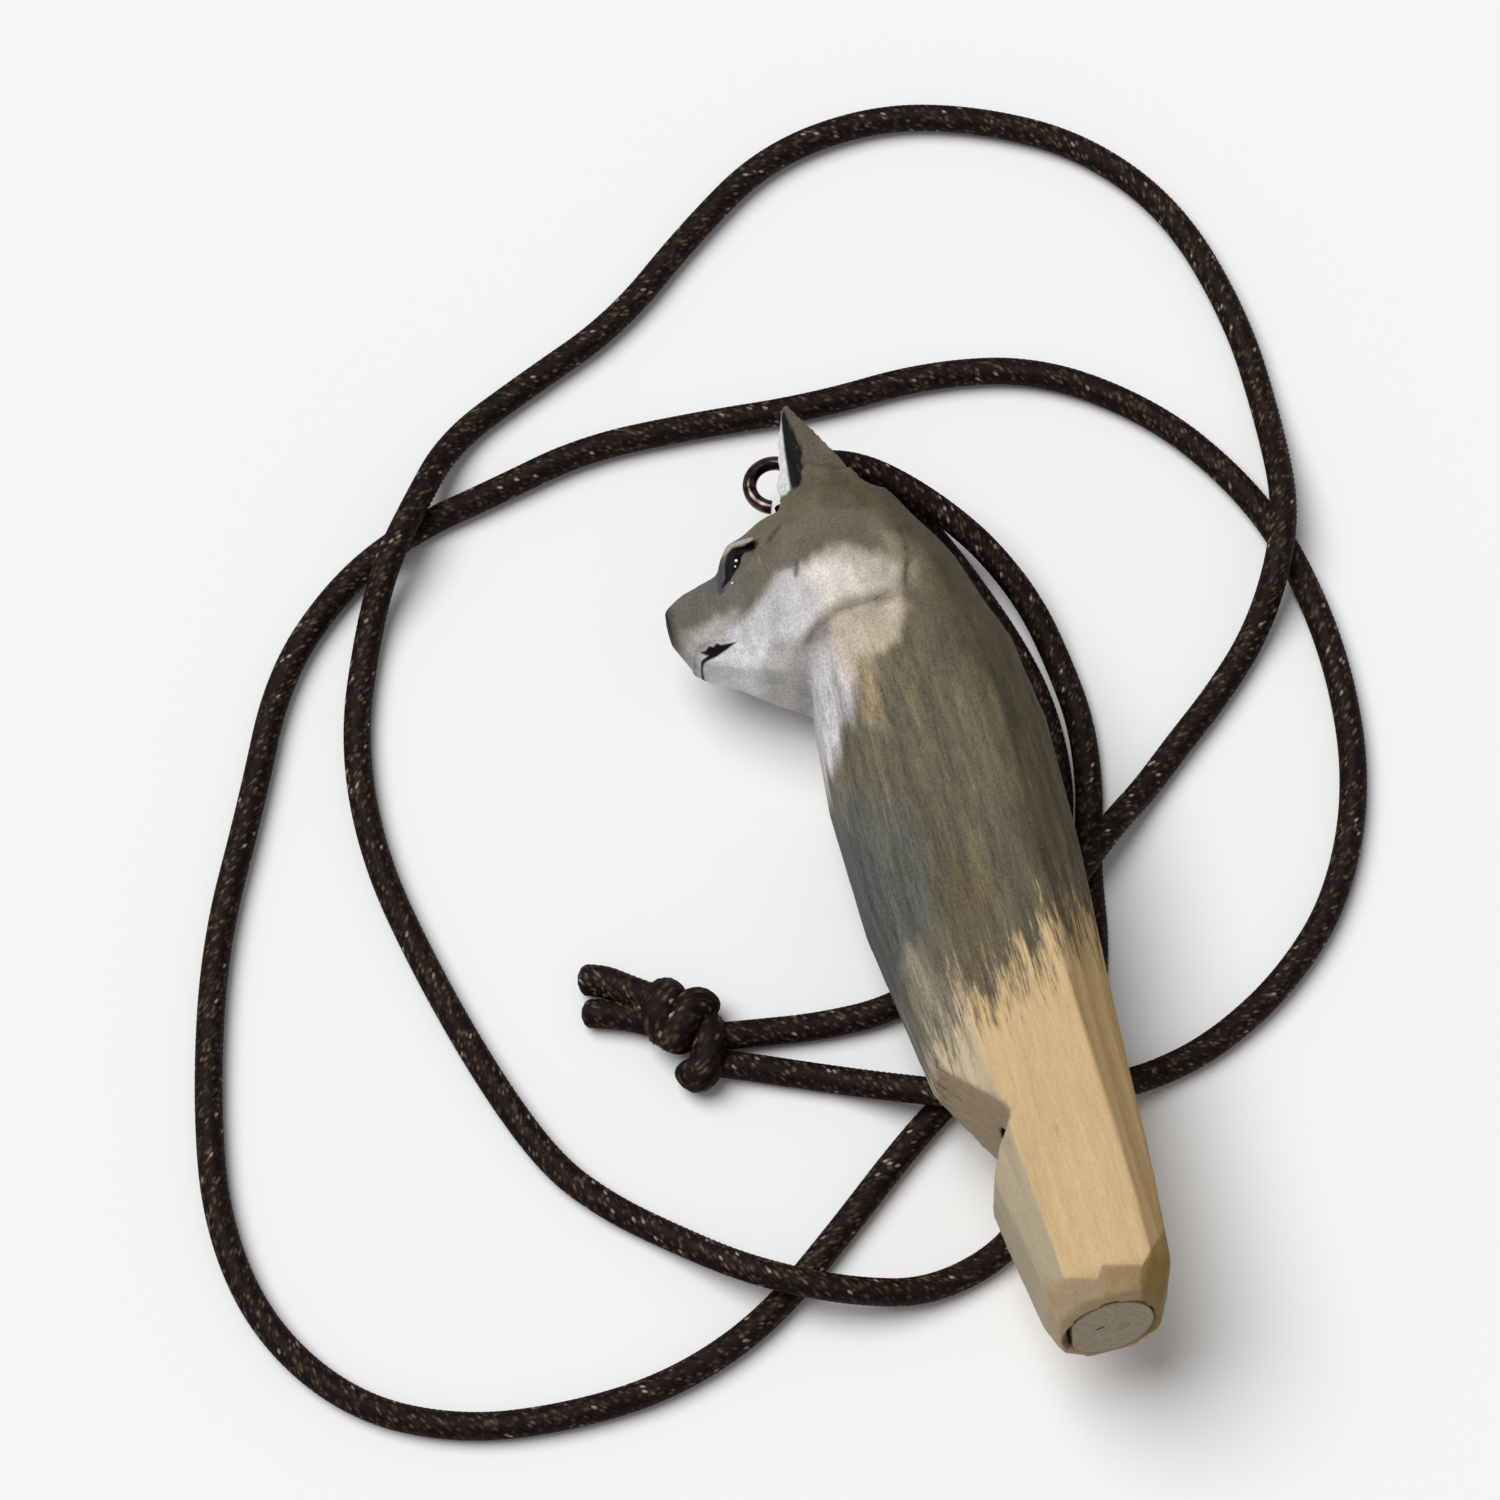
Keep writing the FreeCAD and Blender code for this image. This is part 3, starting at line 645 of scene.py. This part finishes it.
MOUTH = [(-20.9, 78.42), (-20.0, 78.4), (-19.4, 78.2), (-17.8, 78.0), (-16.6, 78.05),
         (-15.5, 78.3), (-16.6, 78.5), (-17.1, 78.6), (-17.5, 78.95), (-17.9, 78.8),
         (-18.3, 79.05), (-18.7, 78.85), (-19.2, 79.0), (-19.7, 78.75), (-20.1, 78.52),
         (-20.9, 78.52)]
EAR_DARK = [(-4.6, 101.0), (-4.45, 98.9), (-4.3, 97.4), (-4.15, 96.1), (-4.1, 95.2),
            (-4.5, 94.4), (-4.4, 93.6), (-4.9, 92.9), (-5.0, 92.2), (-6.0, 92.1),
            (-6.1, 93.1), (-5.7, 96.2), (-5.3, 98.7), (-4.95, 100.9)]
EAR_STRIP = [(-4.95, 100.6), (-5.3, 98.7), (-5.7, 96.2), (-6.1, 93.1), (-6.3, 92.1),
             (-7.0, 91.9), (-8.6, 92.2), (-8.4, 93.4), (-7.6, 95.6), (-6.7, 98.0),
             (-5.4, 100.6)]

# Painted areas in the order they are brushed on: colour, softness of the edge, outline
PAINTED = {
    "back": ((78, 70, 53), 2.0, [
        (3.0, 95), (1.5, 88), (4.0, 80), (5.0, 60), (4.5, 38), (14, 30), (14, 95)]),
    "forehead": ((103, 97, 85), 2.4, [
        (-21, 81.5), (-17, 84), (-12, 86.5), (-5, 88), (0.5, 85), (1.0, 80), (-8, 82), (-14, 80),
        (-21, 80)]),
    "nape": ((80, 72, 55), 1.8, [
        (-3.5, 91.2), (1.0, 93.0), (4.0, 90.0), (2.0, 86.0), (-2.0, 89.0)]),
    "ruff_edge": ((138, 128, 108), 1.4, [
        (0.6, 83.4), (2.8, 82.8), (3.4, 79.6), (2.2, 77.2), (0.8, 78.5)]),
    "chest": ((86, 87, 82), 1.8, [
        (-14.5, 60), (-9.0, 58.5), (-5.5, 55), (-4.2, 50), (-5.6, 44), (-7.2, 40), (-8.0, 33),
        (-10.5, 29.5), (-14.5, 31)]),
    "chest_front": ((70, 73, 72), 1.6, [
        (-14.5, 58), (-10.9, 56.5), (-9.4, 51.2), (-9.6, 45.9), (-10.2, 40.4), (-10.0, 34),
        (-10.8, 30.5), (-14.5, 31)]),
    "belly": ((96, 87, 68), 1.8, [
        (-3.0, 48), (0.5, 46), (2.0, 38), (3.5, 31), (-3.0, 31), (-4.0, 40)]),
    "above_notch": ((130, 123, 107), 1.6, [
        (-9.6, 39.5), (-7.8, 41.0), (-6.8, 37.5), (-4.4, 31.5), (-9.5, 30.0)]),
    "throat": ((196, 194, 194), 1.7, [
        (-14.5, 70.2), (-14.5, 62.6), (-11.6, 61.2), (-9.3, 63.6), (-7.4, 65.8), (-6.4, 68.6),
        (-5.4, 72.6), (-6.0, 75.4), (-9.0, 74.6), (-11.3, 71.6)]),
    "jaw_side": ((187, 173, 156), 1.1, [
        (-6.8, 76.9), (-2.0, 77.4), (0.6, 77.3), (0.9, 74.8), (-0.7, 71.8), (-3.6, 70.9),
        (-6.8, 69.0), (-6.8, 72.2)]),
    "throat_tip": ((150, 133, 106), 1.1, [
        (-5.0, 71.4), (-3.6, 70.0), (-4.2, 66.5), (-5.2, 62.6), (-6.1, 63.0), (-5.9, 67.6)]),
    "cheek": ((196, 186, 172), 1.2, [
        (1.7, 79.4), (0.3, 80.9), (-0.9, 81.9), (-3.1, 83.0), (-5.7, 83.1), (-8.0, 82.6),
        (-9.6, 79.6), (-8.0, 76.6), (-3.8, 77.1), (1.0, 77.0)]),
    "cheek_light": ((210, 204, 196), 1.4, [
        (-3.0, 80.6), (-6.4, 82.4), (-9.0, 82.2), (-9.4, 79.0), (-6.4, 77.4), (-3.0, 78.4)]),
    "muzzle": ((190, 188, 190), 1.2, [
        (-8.4, 82.4), (-10.1, 82.9), (-11.0, 82.2), (-12.0, 81.4), (-13.7, 80.5), (-15.9, 80.0),
        (-17.6, 79.6), (-19.3, 79.4), (-21.6, 79.1), (-21.4, 76.9), (-17.4, 75.8), (-14.2, 73.6),
        (-11.2, 72.0), (-8.4, 75.2), (-7.0, 77.2), (-7.0, 80.5)]),
    "jaw_corner": ((190, 187, 183), 1.2, [
        (-13.6, 76.2), (-10.9, 75.8), (-10.4, 74.2), (-11.7, 71.6), (-14.2, 72.2),
        (-15.3, 73.6)]),
    # Painted shade on the underside of the jaw
    "under_chin_shade": ((138, 135, 128), 0.9, [
        (-20.0, 76.5), (-18.6, 75.6), (-16.2, 74.3), (-13.6, 72.2), (-11.6, 70.2), (-11.1, 68.4),
        (-13.1, 69.6), (-16.2, 71.6), (-19.0, 74.6), (-20.4, 76.4)]),
    "snout_top": ((96, 93, 86), 1.6, [
        (-22.5, 81.6), (-20.5, 81.5), (-18.4, 81.8), (-16.7, 82.1), (-14.6, 82.3), (-13.1, 83.2),
        (-12.4, 85.0), (-15.0, 87.0), (-18.0, 86.6), (-22.5, 86.6)]),
    "upper_lip": ((172, 168, 161), 1.5, [
        (-21.4, 79.2), (-21.6, 80.9), (-20.6, 81.0), (-18.4, 81.3), (-16.6, 81.4), (-15.0, 81.2),
        (-16.4, 79.6), (-19.0, 79.2)]),
    "lower_lip": ((230, 228, 229), 0.8, [
        (-20.0, 78.2), (-15.4, 78.2), (-13.0, 76.8), (-13.8, 75.2), (-16.2, 75.4),
        (-19.4, 77.0)]),
    "nose": ((66, 63, 60), 0.7, [
        (-22.5, 86.4), (-20.8, 86.2), (-20.6, 84.3), (-20.9, 82.9), (-21.3, 81.6),
        (-22.5, 81.6)]),
    "eye_socket": ((92, 90, 88), 0.9, [
        (-15.2, 86.8), (-15.3, 84.9), (-16.8, 84.6), (-18.8, 86.0), (-16.6, 87.8)]),
}
# Brushed lines: colour, half width, strength, least distance from the middle plane, path; the lid
# line is a painted highlight, the crease and nick lines painted shade
BRUSHED_LINES = [
    # Painted highlight along the upper lid
    ((168, 165, 155), 0.5, 0.8, 3.0, LID_HIGHLIGHT),
    ((52, 56, 72), 0.6, 0.75, 3.0, UNDER_EYE),
    # Painted shade along the cheek crease
    ((138, 128, 112), 1.1, 0.4, 4.0, CHEEK_CREASE),
    # Painted shade in the two brow nicks
    ((70, 62, 48), 0.35, 0.75, 4.0, BROW_NICKS[0]),
    ((70, 62, 48), 0.35, 0.75, 4.0, BROW_NICKS[1]),
]
# Ground colours: the coat, the bare wood's faces, the notch's ramp, the mouth end, the marks
COAT = (99, 92, 76)
BARE = (201, 173, 129)
BARE_FRONT = (160, 149, 128)
BARE_ABOVE = (186, 170, 141)
# Painted shade on the back faces, which turn away from the light
BARE_BACK_SHADE = (150, 123, 80)
# Greyer tone with painted shade on the notch's ramp, which the notch shades
RAMP_GREY_AND_SHADE = (159, 139, 114)
END_LEFT = (163, 143, 111)
END_MIDDLE = (160, 135, 99)
# Olive painted shade on the right side of the mouth end
END_RIGHT_SHADE = (132, 107, 60)
# Dark joint around the plug, drawn only on its upper-left half as painted shade
JOINT_BROWN_AND_SHADE = (96, 76, 58)
EAR_WHITE = (206, 208, 208)
BLACK = (10, 9, 9)
# Where the coat has faded halfway to bare wood, and over what length it does so
FADE = [(-14, 32.5), (-10.9, 32.2), (-9.2, 29.6), (-6.8, 30.8), (-3.9, 32.6), (2.1, 34.4),
        (5.5, 36.9), (8.7, 39.3), (14, 39.5)]
FADE_REACH = 15.0
# Edges on the mouth end: of its cut face, and of the side of that face in olive painted shade
END_EDGE = [(-6.0, 6.5), (-4.3, 4.4), (-0.8, 3.4), (0.0, 4.5), (3.7, 3.6), (4.3, 4.1),
            (6.0, 6.0)]
SHADED_SIDE_EDGE = [(4.9, 6.0), (3.9, 4.0), (3.1, 2.4), (2.9, 0.0)]


def neighbour_shape(mesh, points, normals):
    """How far each point stands above (+) or below (-) the average of its neighbours."""
    pairs = np.empty(len(mesh.edges) * 2, np.int32)
    mesh.edges.foreach_get("vertices", pairs)
    a, b = pairs.reshape(-1, 2).T
    total = np.zeros_like(points)
    count = np.zeros(len(points))
    for first, second in ((a, b), (b, a)):
        np.add.at(total, first, points[second])
        np.add.at(count, first, 1)
    lift = ((points - total / count[:, None]) * normals).sum(axis=1)
    summed = np.zeros(len(points))
    for first, second in ((a, b), (b, a)):
        np.add.at(summed, first, lift[second])
    return 0.5 * lift + 0.5 * summed / count


def outer_skin(carved):
    """1 on the outside, 0 in the bore and on the sawn end."""
    x, y, z = carved.T
    return smooth(4.45, 4.9, np.hypot(x, z) + 20 * (y > 63)) * smooth(1.8, 2.6, y + 20 * (y > 3))


KNIFE_WIDTH = 2.3
KNIFE_DEPTH = 0.075
HEAD_FACETS = 0.10
HEAD_CHIPS = 0.05


def knife_cuts(carved, normals):
    """Long shallow scallops along the trunk and small facets on the head."""
    x, y, z = carved.T
    around = np.where(np.abs(normals[:, 2]) > 0.8, x, np.arctan2(z, x) * 9.0)
    phase = around / KNIFE_WIDTH + 0.5 * value_noise(carved, (30, 26, 30), 11)
    across = (phase - np.floor(phase)) - 0.5
    trunk_cuts = -KNIFE_DEPTH * (1 - 4 * across ** 2)
    head_cuts = (HEAD_FACETS * value_noise(carved, (3.2, 3.8, 3.2), 12)
                 + HEAD_CHIPS * value_noise(carved, (1.3, 1.7, 1.3), 13))
    trunk = smooth(72, 66, y)
    return trunk_cuts * trunk + head_cuts * (1 - trunk) * smooth(93, 90, y)


def step_along(xy, path, depth, reach):
    """Cut that drops sharply at a path and rises again away from it, on the path's left."""
    distance, side, along = path_distance(xy, path)
    fade = smooth(0.0, 0.12, along) * smooth(1.0, 0.85, along)
    low = np.exp(-(distance / reach) ** 2) * (side > 0)
    line = np.exp(-(distance / 0.3) ** 2) * 0.2
    return -depth * np.maximum(low, line) * fade


def groove_along(xy, path, depth, width):
    """Round groove along a path, shallow at both ends."""
    distance, _, along = path_distance(xy, path)
    fade = smooth(-0.1, 0.15, along) * smooth(1.1, 0.85, along)
    return -depth * np.exp(-(distance / width) ** 2) * fade


def face_cuts(carved):
    """Cuts at the cheek, ruff, ear and brow, the sculpted eyes and the edge of the mouth."""
    x, y, z = carved.T
    xy = carved[:, :2]
    flank = smooth(3.5, 5.5, np.abs(z))
    lift = step_along(xy, CHEEK_CREASE, 0.5, 1.6)
    lift += step_along(xy, RUFF_EDGE, 0.4, 1.6)
    lift += groove_along(xy, EAR_CREASE, 0.3, 0.35)
    for nick in BROW_NICKS:
        lift += groove_along(xy, nick, 0.22, 0.2)
    lift *= flank

    side = smooth(3.0, 3.6, np.abs(z)) * (y < 90)
    ball = np.hypot((x - EYEBALL[0]) * 0.9, (y - EYEBALL[1]) * 0.8)
    rim = np.exp(-(inside(xy, EYE) / 0.22) ** 2)
    brow = np.exp(-(path_distance(xy, BROW_RIDGE)[0] / 0.6) ** 2)
    lift += side * (0.38 * smooth(1.3, 0.1, ball) - 0.16 * rim + 0.2 * brow)
    lips = np.exp(-(inside(xy, MOUTH) + 0.5) ** 2 / 0.06)
    return lift + 0.15 * lips * (y > 78.2) * (x < -16)


def widened_ears(carved):
    """Front edge of each ear: drawn out on the left flank and cut back on the right one."""
    x, y, z = carved.T
    moved = carved.copy()
    reach = np.where(z > 0, 0.32, -0.3)
    moved[:, 0] -= reach * smooth(91.5, 93.5, y) * smooth(101.0, 98.5, y) * smooth(-3.5, -5.0, x)
    return moved


def lowered_crown(carved):
    """Crown in front of the ears, cut down beside the screw eye's ring."""
    x, y, _ = carved.T
    moved = carved.copy()
    front = smooth(-4.5, -7.0, x) * smooth(-15.0, -11.5, x)
    moved[:, 1] -= 0.6 * front * smooth(86.5, 89.0, y) * smooth(93.5, 91.5, y)
    return moved


def coat_colours(carved, shape):
    """Brushed coat, from the large areas down to single strokes, lighter on raised edges and
    darker in hollows.
    """
    y = carved[:, 1]
    wander = np.stack([value_noise(carved, (0.9, 2.4, 0.9), 21),
                       value_noise(carved, (0.8, 2.0, 0.8), 22)], axis=1)
    ragged = carved[:, :2] + 0.45 * wander
    ragged[:, 1] += 1.6 * value_noise(carved, (0.9, 8.0, 0.9), 20) * smooth(70, 64, y)
    colour = np.tile(tone(COAT), (len(carved), 1))
    for shade, softness, outline in PAINTED.values():
        mask = smooth(-softness * 0.8, softness * 0.8, inside(ragged, outline))
        mask *= 0.9 + 0.1 * value_noise(carved, (0.7, 2.0, 0.7), 23)
        colour = brush_on(colour, shade, mask)
    streaks = (value_noise(carved, (0.8, 7, 0.8), 24)
               + 0.8 * value_noise(carved, (2.0, 12, 2.0), 25))
    mottle = (value_noise(carved, (1.6, 2.4, 1.6), 26)
              + 0.6 * value_noise(carved, (0.8, 1.0, 0.8), 27))
    trunk = smooth(76, 70, y)
    colour *= (1 + 0.25 * streaks * trunk + 0.16 * mottle * (1 - trunk))[:, None]
    warm = smooth(0.1, 0.9, value_noise(carved, (1.2, 9, 1.2), 28)) * trunk
    colour = blend(colour, colour * (1.28, 1.2, 1.02), 0.8 * warm[:, None])
    # Raised edges lighter, as wear and painted highlight; hollows darker, as painted shade
    edge_wear_and_highlight = smooth(0.01, 0.05, shape)
    hollow_shade = smooth(-0.008, -0.05, shape)
    return colour * (1 + 0.12 * edge_wear_and_highlight - 0.32 * hollow_shade)[:, None]


def wood_colours(carved, normals):
    """Bare wood, greyer on the front faces, with painted shade on the cut faces that turn away
    from the light.
    """
    x, y, z = carved.T
    xy = carved[:, :2]
    wood = np.tile(tone(BARE), (len(carved), 1))
    front = smooth(0.35, 0.65, -normals[:, 0]) * smooth(0.9, 0.6, -normals[:, 1])
    facet = blend(tone(BARE_FRONT), tone(BARE_ABOVE), smooth(22, 27, y)[:, None])
    wood = blend(wood, facet, 0.9 * front[:, None])
    # Painted shade on the back faces, which turn away from the light
    wood = brush_on(wood, BARE_BACK_SHADE, 0.8 * smooth(0.3, 0.8, normals[:, 0]))
    # Greyer tone with painted shade on the notch's ramp
    ramp = smooth(0.35, 0.5, -normals[:, 1]) * smooth(0.2, 0.4, -normals[:, 0]) * (y > 19)
    wood = brush_on(wood, RAMP_GREY_AND_SHADE, ramp)

    distance, side, _ = path_distance(xy, END_EDGE)
    end_cut = smooth(0.1, -0.1, distance * side) * (y < 8) * (x > -5.4)
    end_cut = np.maximum(end_cut, smooth(3.1, 2.9, y))
    distance, side, _ = path_distance(xy, SHADED_SIDE_EDGE)
    end = blend(tone(END_LEFT), tone(END_MIDDLE), smooth(-1.2, 0.4, x)[:, None])
    # Olive painted shade on the right side of the mouth end
    end = brush_on(end, END_RIGHT_SHADE, smooth(-0.1, 0.1, distance * side))
    wood = blend(wood, end, end_cut[:, None])
    # Dark joint around the plug, drawn only on its upper-left half as painted shade
    dark_joint_and_shade = smooth(5.1, 4.75, np.hypot(x, z)) * (y < 1.0) * (z > 0.5 * x)
    wood = brush_on(wood, JOINT_BROWN_AND_SHADE, dark_joint_and_shade)
    return wood * (1 + 0.05 * value_noise(carved, (0.9, 9, 0.9), 29))[:, None]


def ear_inner(y):
    """Inner face of each ear, as a distance from the middle plane."""
    return 3.4 + 0.218 * (y - 84.8)


def black_marks(carved):
    """1 in the eyes, the mouth and the hollows of the ears and on the nose, 0 elsewhere."""
    x, y, z = carved.T
    xy = carved[:, :2]
    off = np.abs(z)
    eyes = smooth(-0.06, 0.08, inside(xy, EYE)) * (off > 3.0) * (off < 9)
    mouth = smooth(-0.08, 0.08, inside(xy, MOUTH)) * (off < 6)
    mouth *= np.maximum(smooth(2.6, 2.9, off), smooth(78.5, 78.36, y))
    hollow = smooth(-0.1, 0.12, inside(xy, EAR_DARK)) * (off > ear_inner(y) + 0.5) * (y > 91)
    nose = smooth(-21.15, -21.35, x) * smooth(81.2, 81.7, y) * smooth(85.4, 84.8, y)
    return np.max([eyes, mouth, hollow, nose], axis=0)


def ear_strip(carved):
    """1 on the pale strip beside each ear's hollow."""
    _, y, z = carved.T
    off = np.abs(z)
    foot = 92.1 + 0.4 * np.clip(6 - off, 0, 6)
    strip = smooth(-0.1, 0.12, inside(carved[:, :2], EAR_STRIP)) * (off > ear_inner(y))
    return strip * smooth(-0.1, 0.1, y - foot)


def bareness(carved):
    """0 under the full coat, 1 on bare wood, with a fade between them."""
    x, y, _ = carved.T
    fade_at = np.interp(x, [p[0] for p in FADE], [p[1] for p in FADE])
    brush = 1.2 * value_noise(carved, (1.6, 9, 1.6), 3)
    return np.clip(0.5 + (fade_at - y + brush) / FADE_REACH, 0, 1)


def paint_carving(mesh, carved, normals, shape):
    """Point colours of the coat and of the wood under it."""
    _, y, z = carved.T
    colour = coat_colours(carved, shape)
    for shade, soft, strength, beyond, path in BRUSHED_LINES:
        distance = path_distance(carved[:, :2], path)[0]
        line = strength * smooth(soft, soft * 0.25, distance) * (np.abs(z) > beyond)
        colour = brush_on(colour, shade, line)
    black = black_marks(carved)
    strip = ear_strip(carved)
    colour = brush_on(colour, EAR_WHITE, strip)
    colour = brush_on(colour, BLACK, black)
    streaks = blend(1.25, 0.22, smooth(68, 76, y)) * (1 - 0.8 * np.maximum(black, strip))
    set_colours(mesh, "coat", np.clip(colour, 0, 1), streaks)
    set_colours(mesh, "wood", np.clip(wood_colours(carved, normals), 0, 1), bareness(carved))


SKIN_STEP = 0.42
SKIN_ROUNDS = 3
HEAD_ROUNDS = 8
# Boxes of finer mesh, as low and high corners in the carving frame, each cut once more
FINE_BOXES = [
    ((-23, 76, -9), (-9.5, 90, 9)),
    ((-8.5, 91, -9.5), (-3.5, 102, 9.5)),
    ((-16.2, 83.8, -8), (-10.8, 89.2, 8)),
    ((-22, 77.2, -5), (-15.2, 80, 5)),
    ((-7, 2.4, -12), (7.5, 6, 12)),
]


def refine(mesh, low, high):
    """Cut every edge inside a box in half."""
    work = bmesh.new()
    work.from_mesh(mesh)
    carved = to_carving(np.array([v.co for v in work.verts]) * UNIT)
    within = np.all((carved > low) & (carved < high), axis=1)
    edges = [e for e in work.edges if within[e.verts[0].index] and within[e.verts[1].index]]
    bmesh.ops.subdivide_edges(work, edges=edges, cuts=1, use_grid_fill=True)
    work.to_mesh(mesh)
    work.free()


def add_smoothing(obj, name, rounds):
    smoothing = obj.modifiers.new(name, "SMOOTH")
    smoothing.factor = 0.5
    smoothing.iterations = rounds
    return smoothing


def apply_modifiers(obj):
    """Give the object the mesh that its modifiers make."""
    bpy.context.view_layer.update()
    graph = bpy.context.evaluated_depsgraph_get()
    shaped = bpy.data.meshes.new_from_object(obj.evaluated_get(graph))
    obj.modifiers.clear()
    obj.data = shaped
    return shaped


def even_skin(source):
    """Copy of the plain carving with an even mesh and slightly softened edges."""
    carving = new_object("carved_wolf", source.data.copy())
    remesh = carving.modifiers.new("even", "REMESH")
    remesh.mode = "VOXEL"
    remesh.voxel_size = SKIN_STEP * MM
    add_smoothing(carving, "soften", SKIN_ROUNDS)
    mesh = apply_modifiers(carving)
    carved = to_carving(mesh_points(mesh))
    head = smooth(71, 75, carved[:, 1]) * smooth(92.5, 90.5, carved[:, 1])
    head *= smooth(-20.5, -18.5, carved[:, 0])
    group = carving.vertex_groups.new(name="head")
    for index in np.flatnonzero(head > 0.02):
        group.add([int(index)], float(head[index]), "REPLACE")
    add_smoothing(carving, "round_off", HEAD_ROUNDS).vertex_group = "head"
    mesh = apply_modifiers(carving)
    for low, high in FINE_BOXES:
        refine(mesh, low, high)
    return carving


def make_carving(material):
    """The carving with its knife work, softened head, sculpted eyes and paint."""
    carving = even_skin(bpy.data.objects["whistle_body"])
    mesh = carving.data
    turn = np.array(Matrix.Rotation(CARVING_PITCH, 3, "X"))
    points = mesh_points(mesh)
    normals = mesh_normals(mesh) @ turn.T
    carved = to_carving(points)
    lift = (knife_cuts(carved, normals) + face_cuts(carved)) * outer_skin(carved)
    carved = lowered_crown(widened_ears(carved + normals * lift[:, None]))
    set_points(mesh, from_carving(carved))
    normals = mesh_normals(mesh) @ turn.T
    paint_carving(mesh, carved, normals, neighbour_shape(mesh, carved, normals))
    mesh.materials.clear()
    mesh.materials.append(material)
    mesh.shade_smooth()
    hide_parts("whistle_body")
    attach(carving, "root")
    return carving


def on_surface(tree, x, y, side):
    """Point of the carving straight above or below a place in its frame."""
    start, end = from_carving([(x, y, side * 30), (x, y, 0)])
    hit = tree.ray_cast(Vector(start * MM), Vector(end - start).normalized())[0]
    return np.array(hit) * UNIT


def make_glints(carving):
    """White dots of paint in both eyes."""
    tree = BVHTree.FromPolygons([v.co for v in carving.data.vertices],
                                [p.vertices for p in carving.data.polygons])
    work = bmesh.new()
    for side in (1, -1):
        for (x, y), radius in EYE_GLINTS:
            centre = on_surface(tree, x, y, side) * MM
            place = Matrix.Translation(centre) @ Matrix.Diagonal((1, 1, 0.6, 1))
            bmesh.ops.create_uvsphere(work, u_segments=14, v_segments=8, radius=radius * MM,
                                      matrix=place)
    mesh = bpy.data.meshes.new("eye_glints")
    work.to_mesh(mesh)
    work.free()
    mesh.shade_smooth()
    glints = new_object("eye_glints", mesh)
    mesh.materials.append(eye_white_material())
    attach(glints, "root")


# Stage

TABLE_SIZE = 3.0
ROOM_LIGHT = 0.29
WINDOW_LIGHT = 2.64
WINDOW_ANGLE = math.radians(44)
WINDOW_FROM = Vector((-0.46, 0.4, 1.25))
SENSOR_WIDTH = 36
LENS = 144


def make_stage():
    """White table, even light of the room and the soft light of a window."""
    bpy.ops.mesh.primitive_plane_add(size=TABLE_SIZE, location=(0, 0, 0))
    table = bpy.context.object
    table.name = "table"
    table.data.materials.append(floor_material())

    world = bpy.data.worlds.new("room")
    bpy.context.scene.world = world
    world.use_nodes = True
    background = world.node_tree.nodes["Background"]
    background.inputs["Color"].default_value = (1, 1, 1, 1)
    background.inputs["Strength"].default_value = ROOM_LIGHT

    sun = bpy.data.lights.new("window", "SUN")
    sun.energy = WINDOW_LIGHT
    sun.angle = WINDOW_ANGLE
    lamp = new_object("window", sun)
    lamp.rotation_euler = WINDOW_FROM.to_track_quat("Z", "Y").to_euler()


def make_camera():
    """Camera turned so that the photograph's upright runs along the lean."""
    up = Vector((math.sin(LEAN), math.cos(LEAN), 0))
    right = Vector((math.cos(LEAN), -math.sin(LEAN), 0))
    back = Vector((0, 0, 1)) * math.cos(TILT) - up * math.sin(TILT)
    upright = back.cross(right)
    data = bpy.data.cameras.new("camera")
    data.sensor_width = SENSOR_WIDTH
    data.lens = LENS
    data.clip_start = 0.01
    data.clip_end = 10
    camera = new_object("camera", data)
    turn = Matrix((right, upright, back)).transposed().to_4x4()
    camera.matrix_world = Matrix.Translation((CAMERA_TARGET + back * CAMERA_DISTANCE) * MM) @ turn
    bpy.context.scene.camera = camera


def give_material(node, material):
    for slot in bpy.data.objects[node].material_slots:
        slot.material = material


def main():
    scene = bpy.context.scene
    scene.view_settings.view_transform = "Standard"
    make_camera()
    make_stage()
    cord = cord_material()
    make_leg("neck_cord_long", "cord_long", LONG_LEG, cord, 31)
    make_leg("neck_cord_short", "cord_short", SHORT_LEG, cord, 32)
    make_knot(cord)
    make_glints(make_carving(wood_material()))
    give_material("screw_eye", metal_material())
    give_material("fipple_plug", plug_material())


main()
bpy.context.view_layer.update()
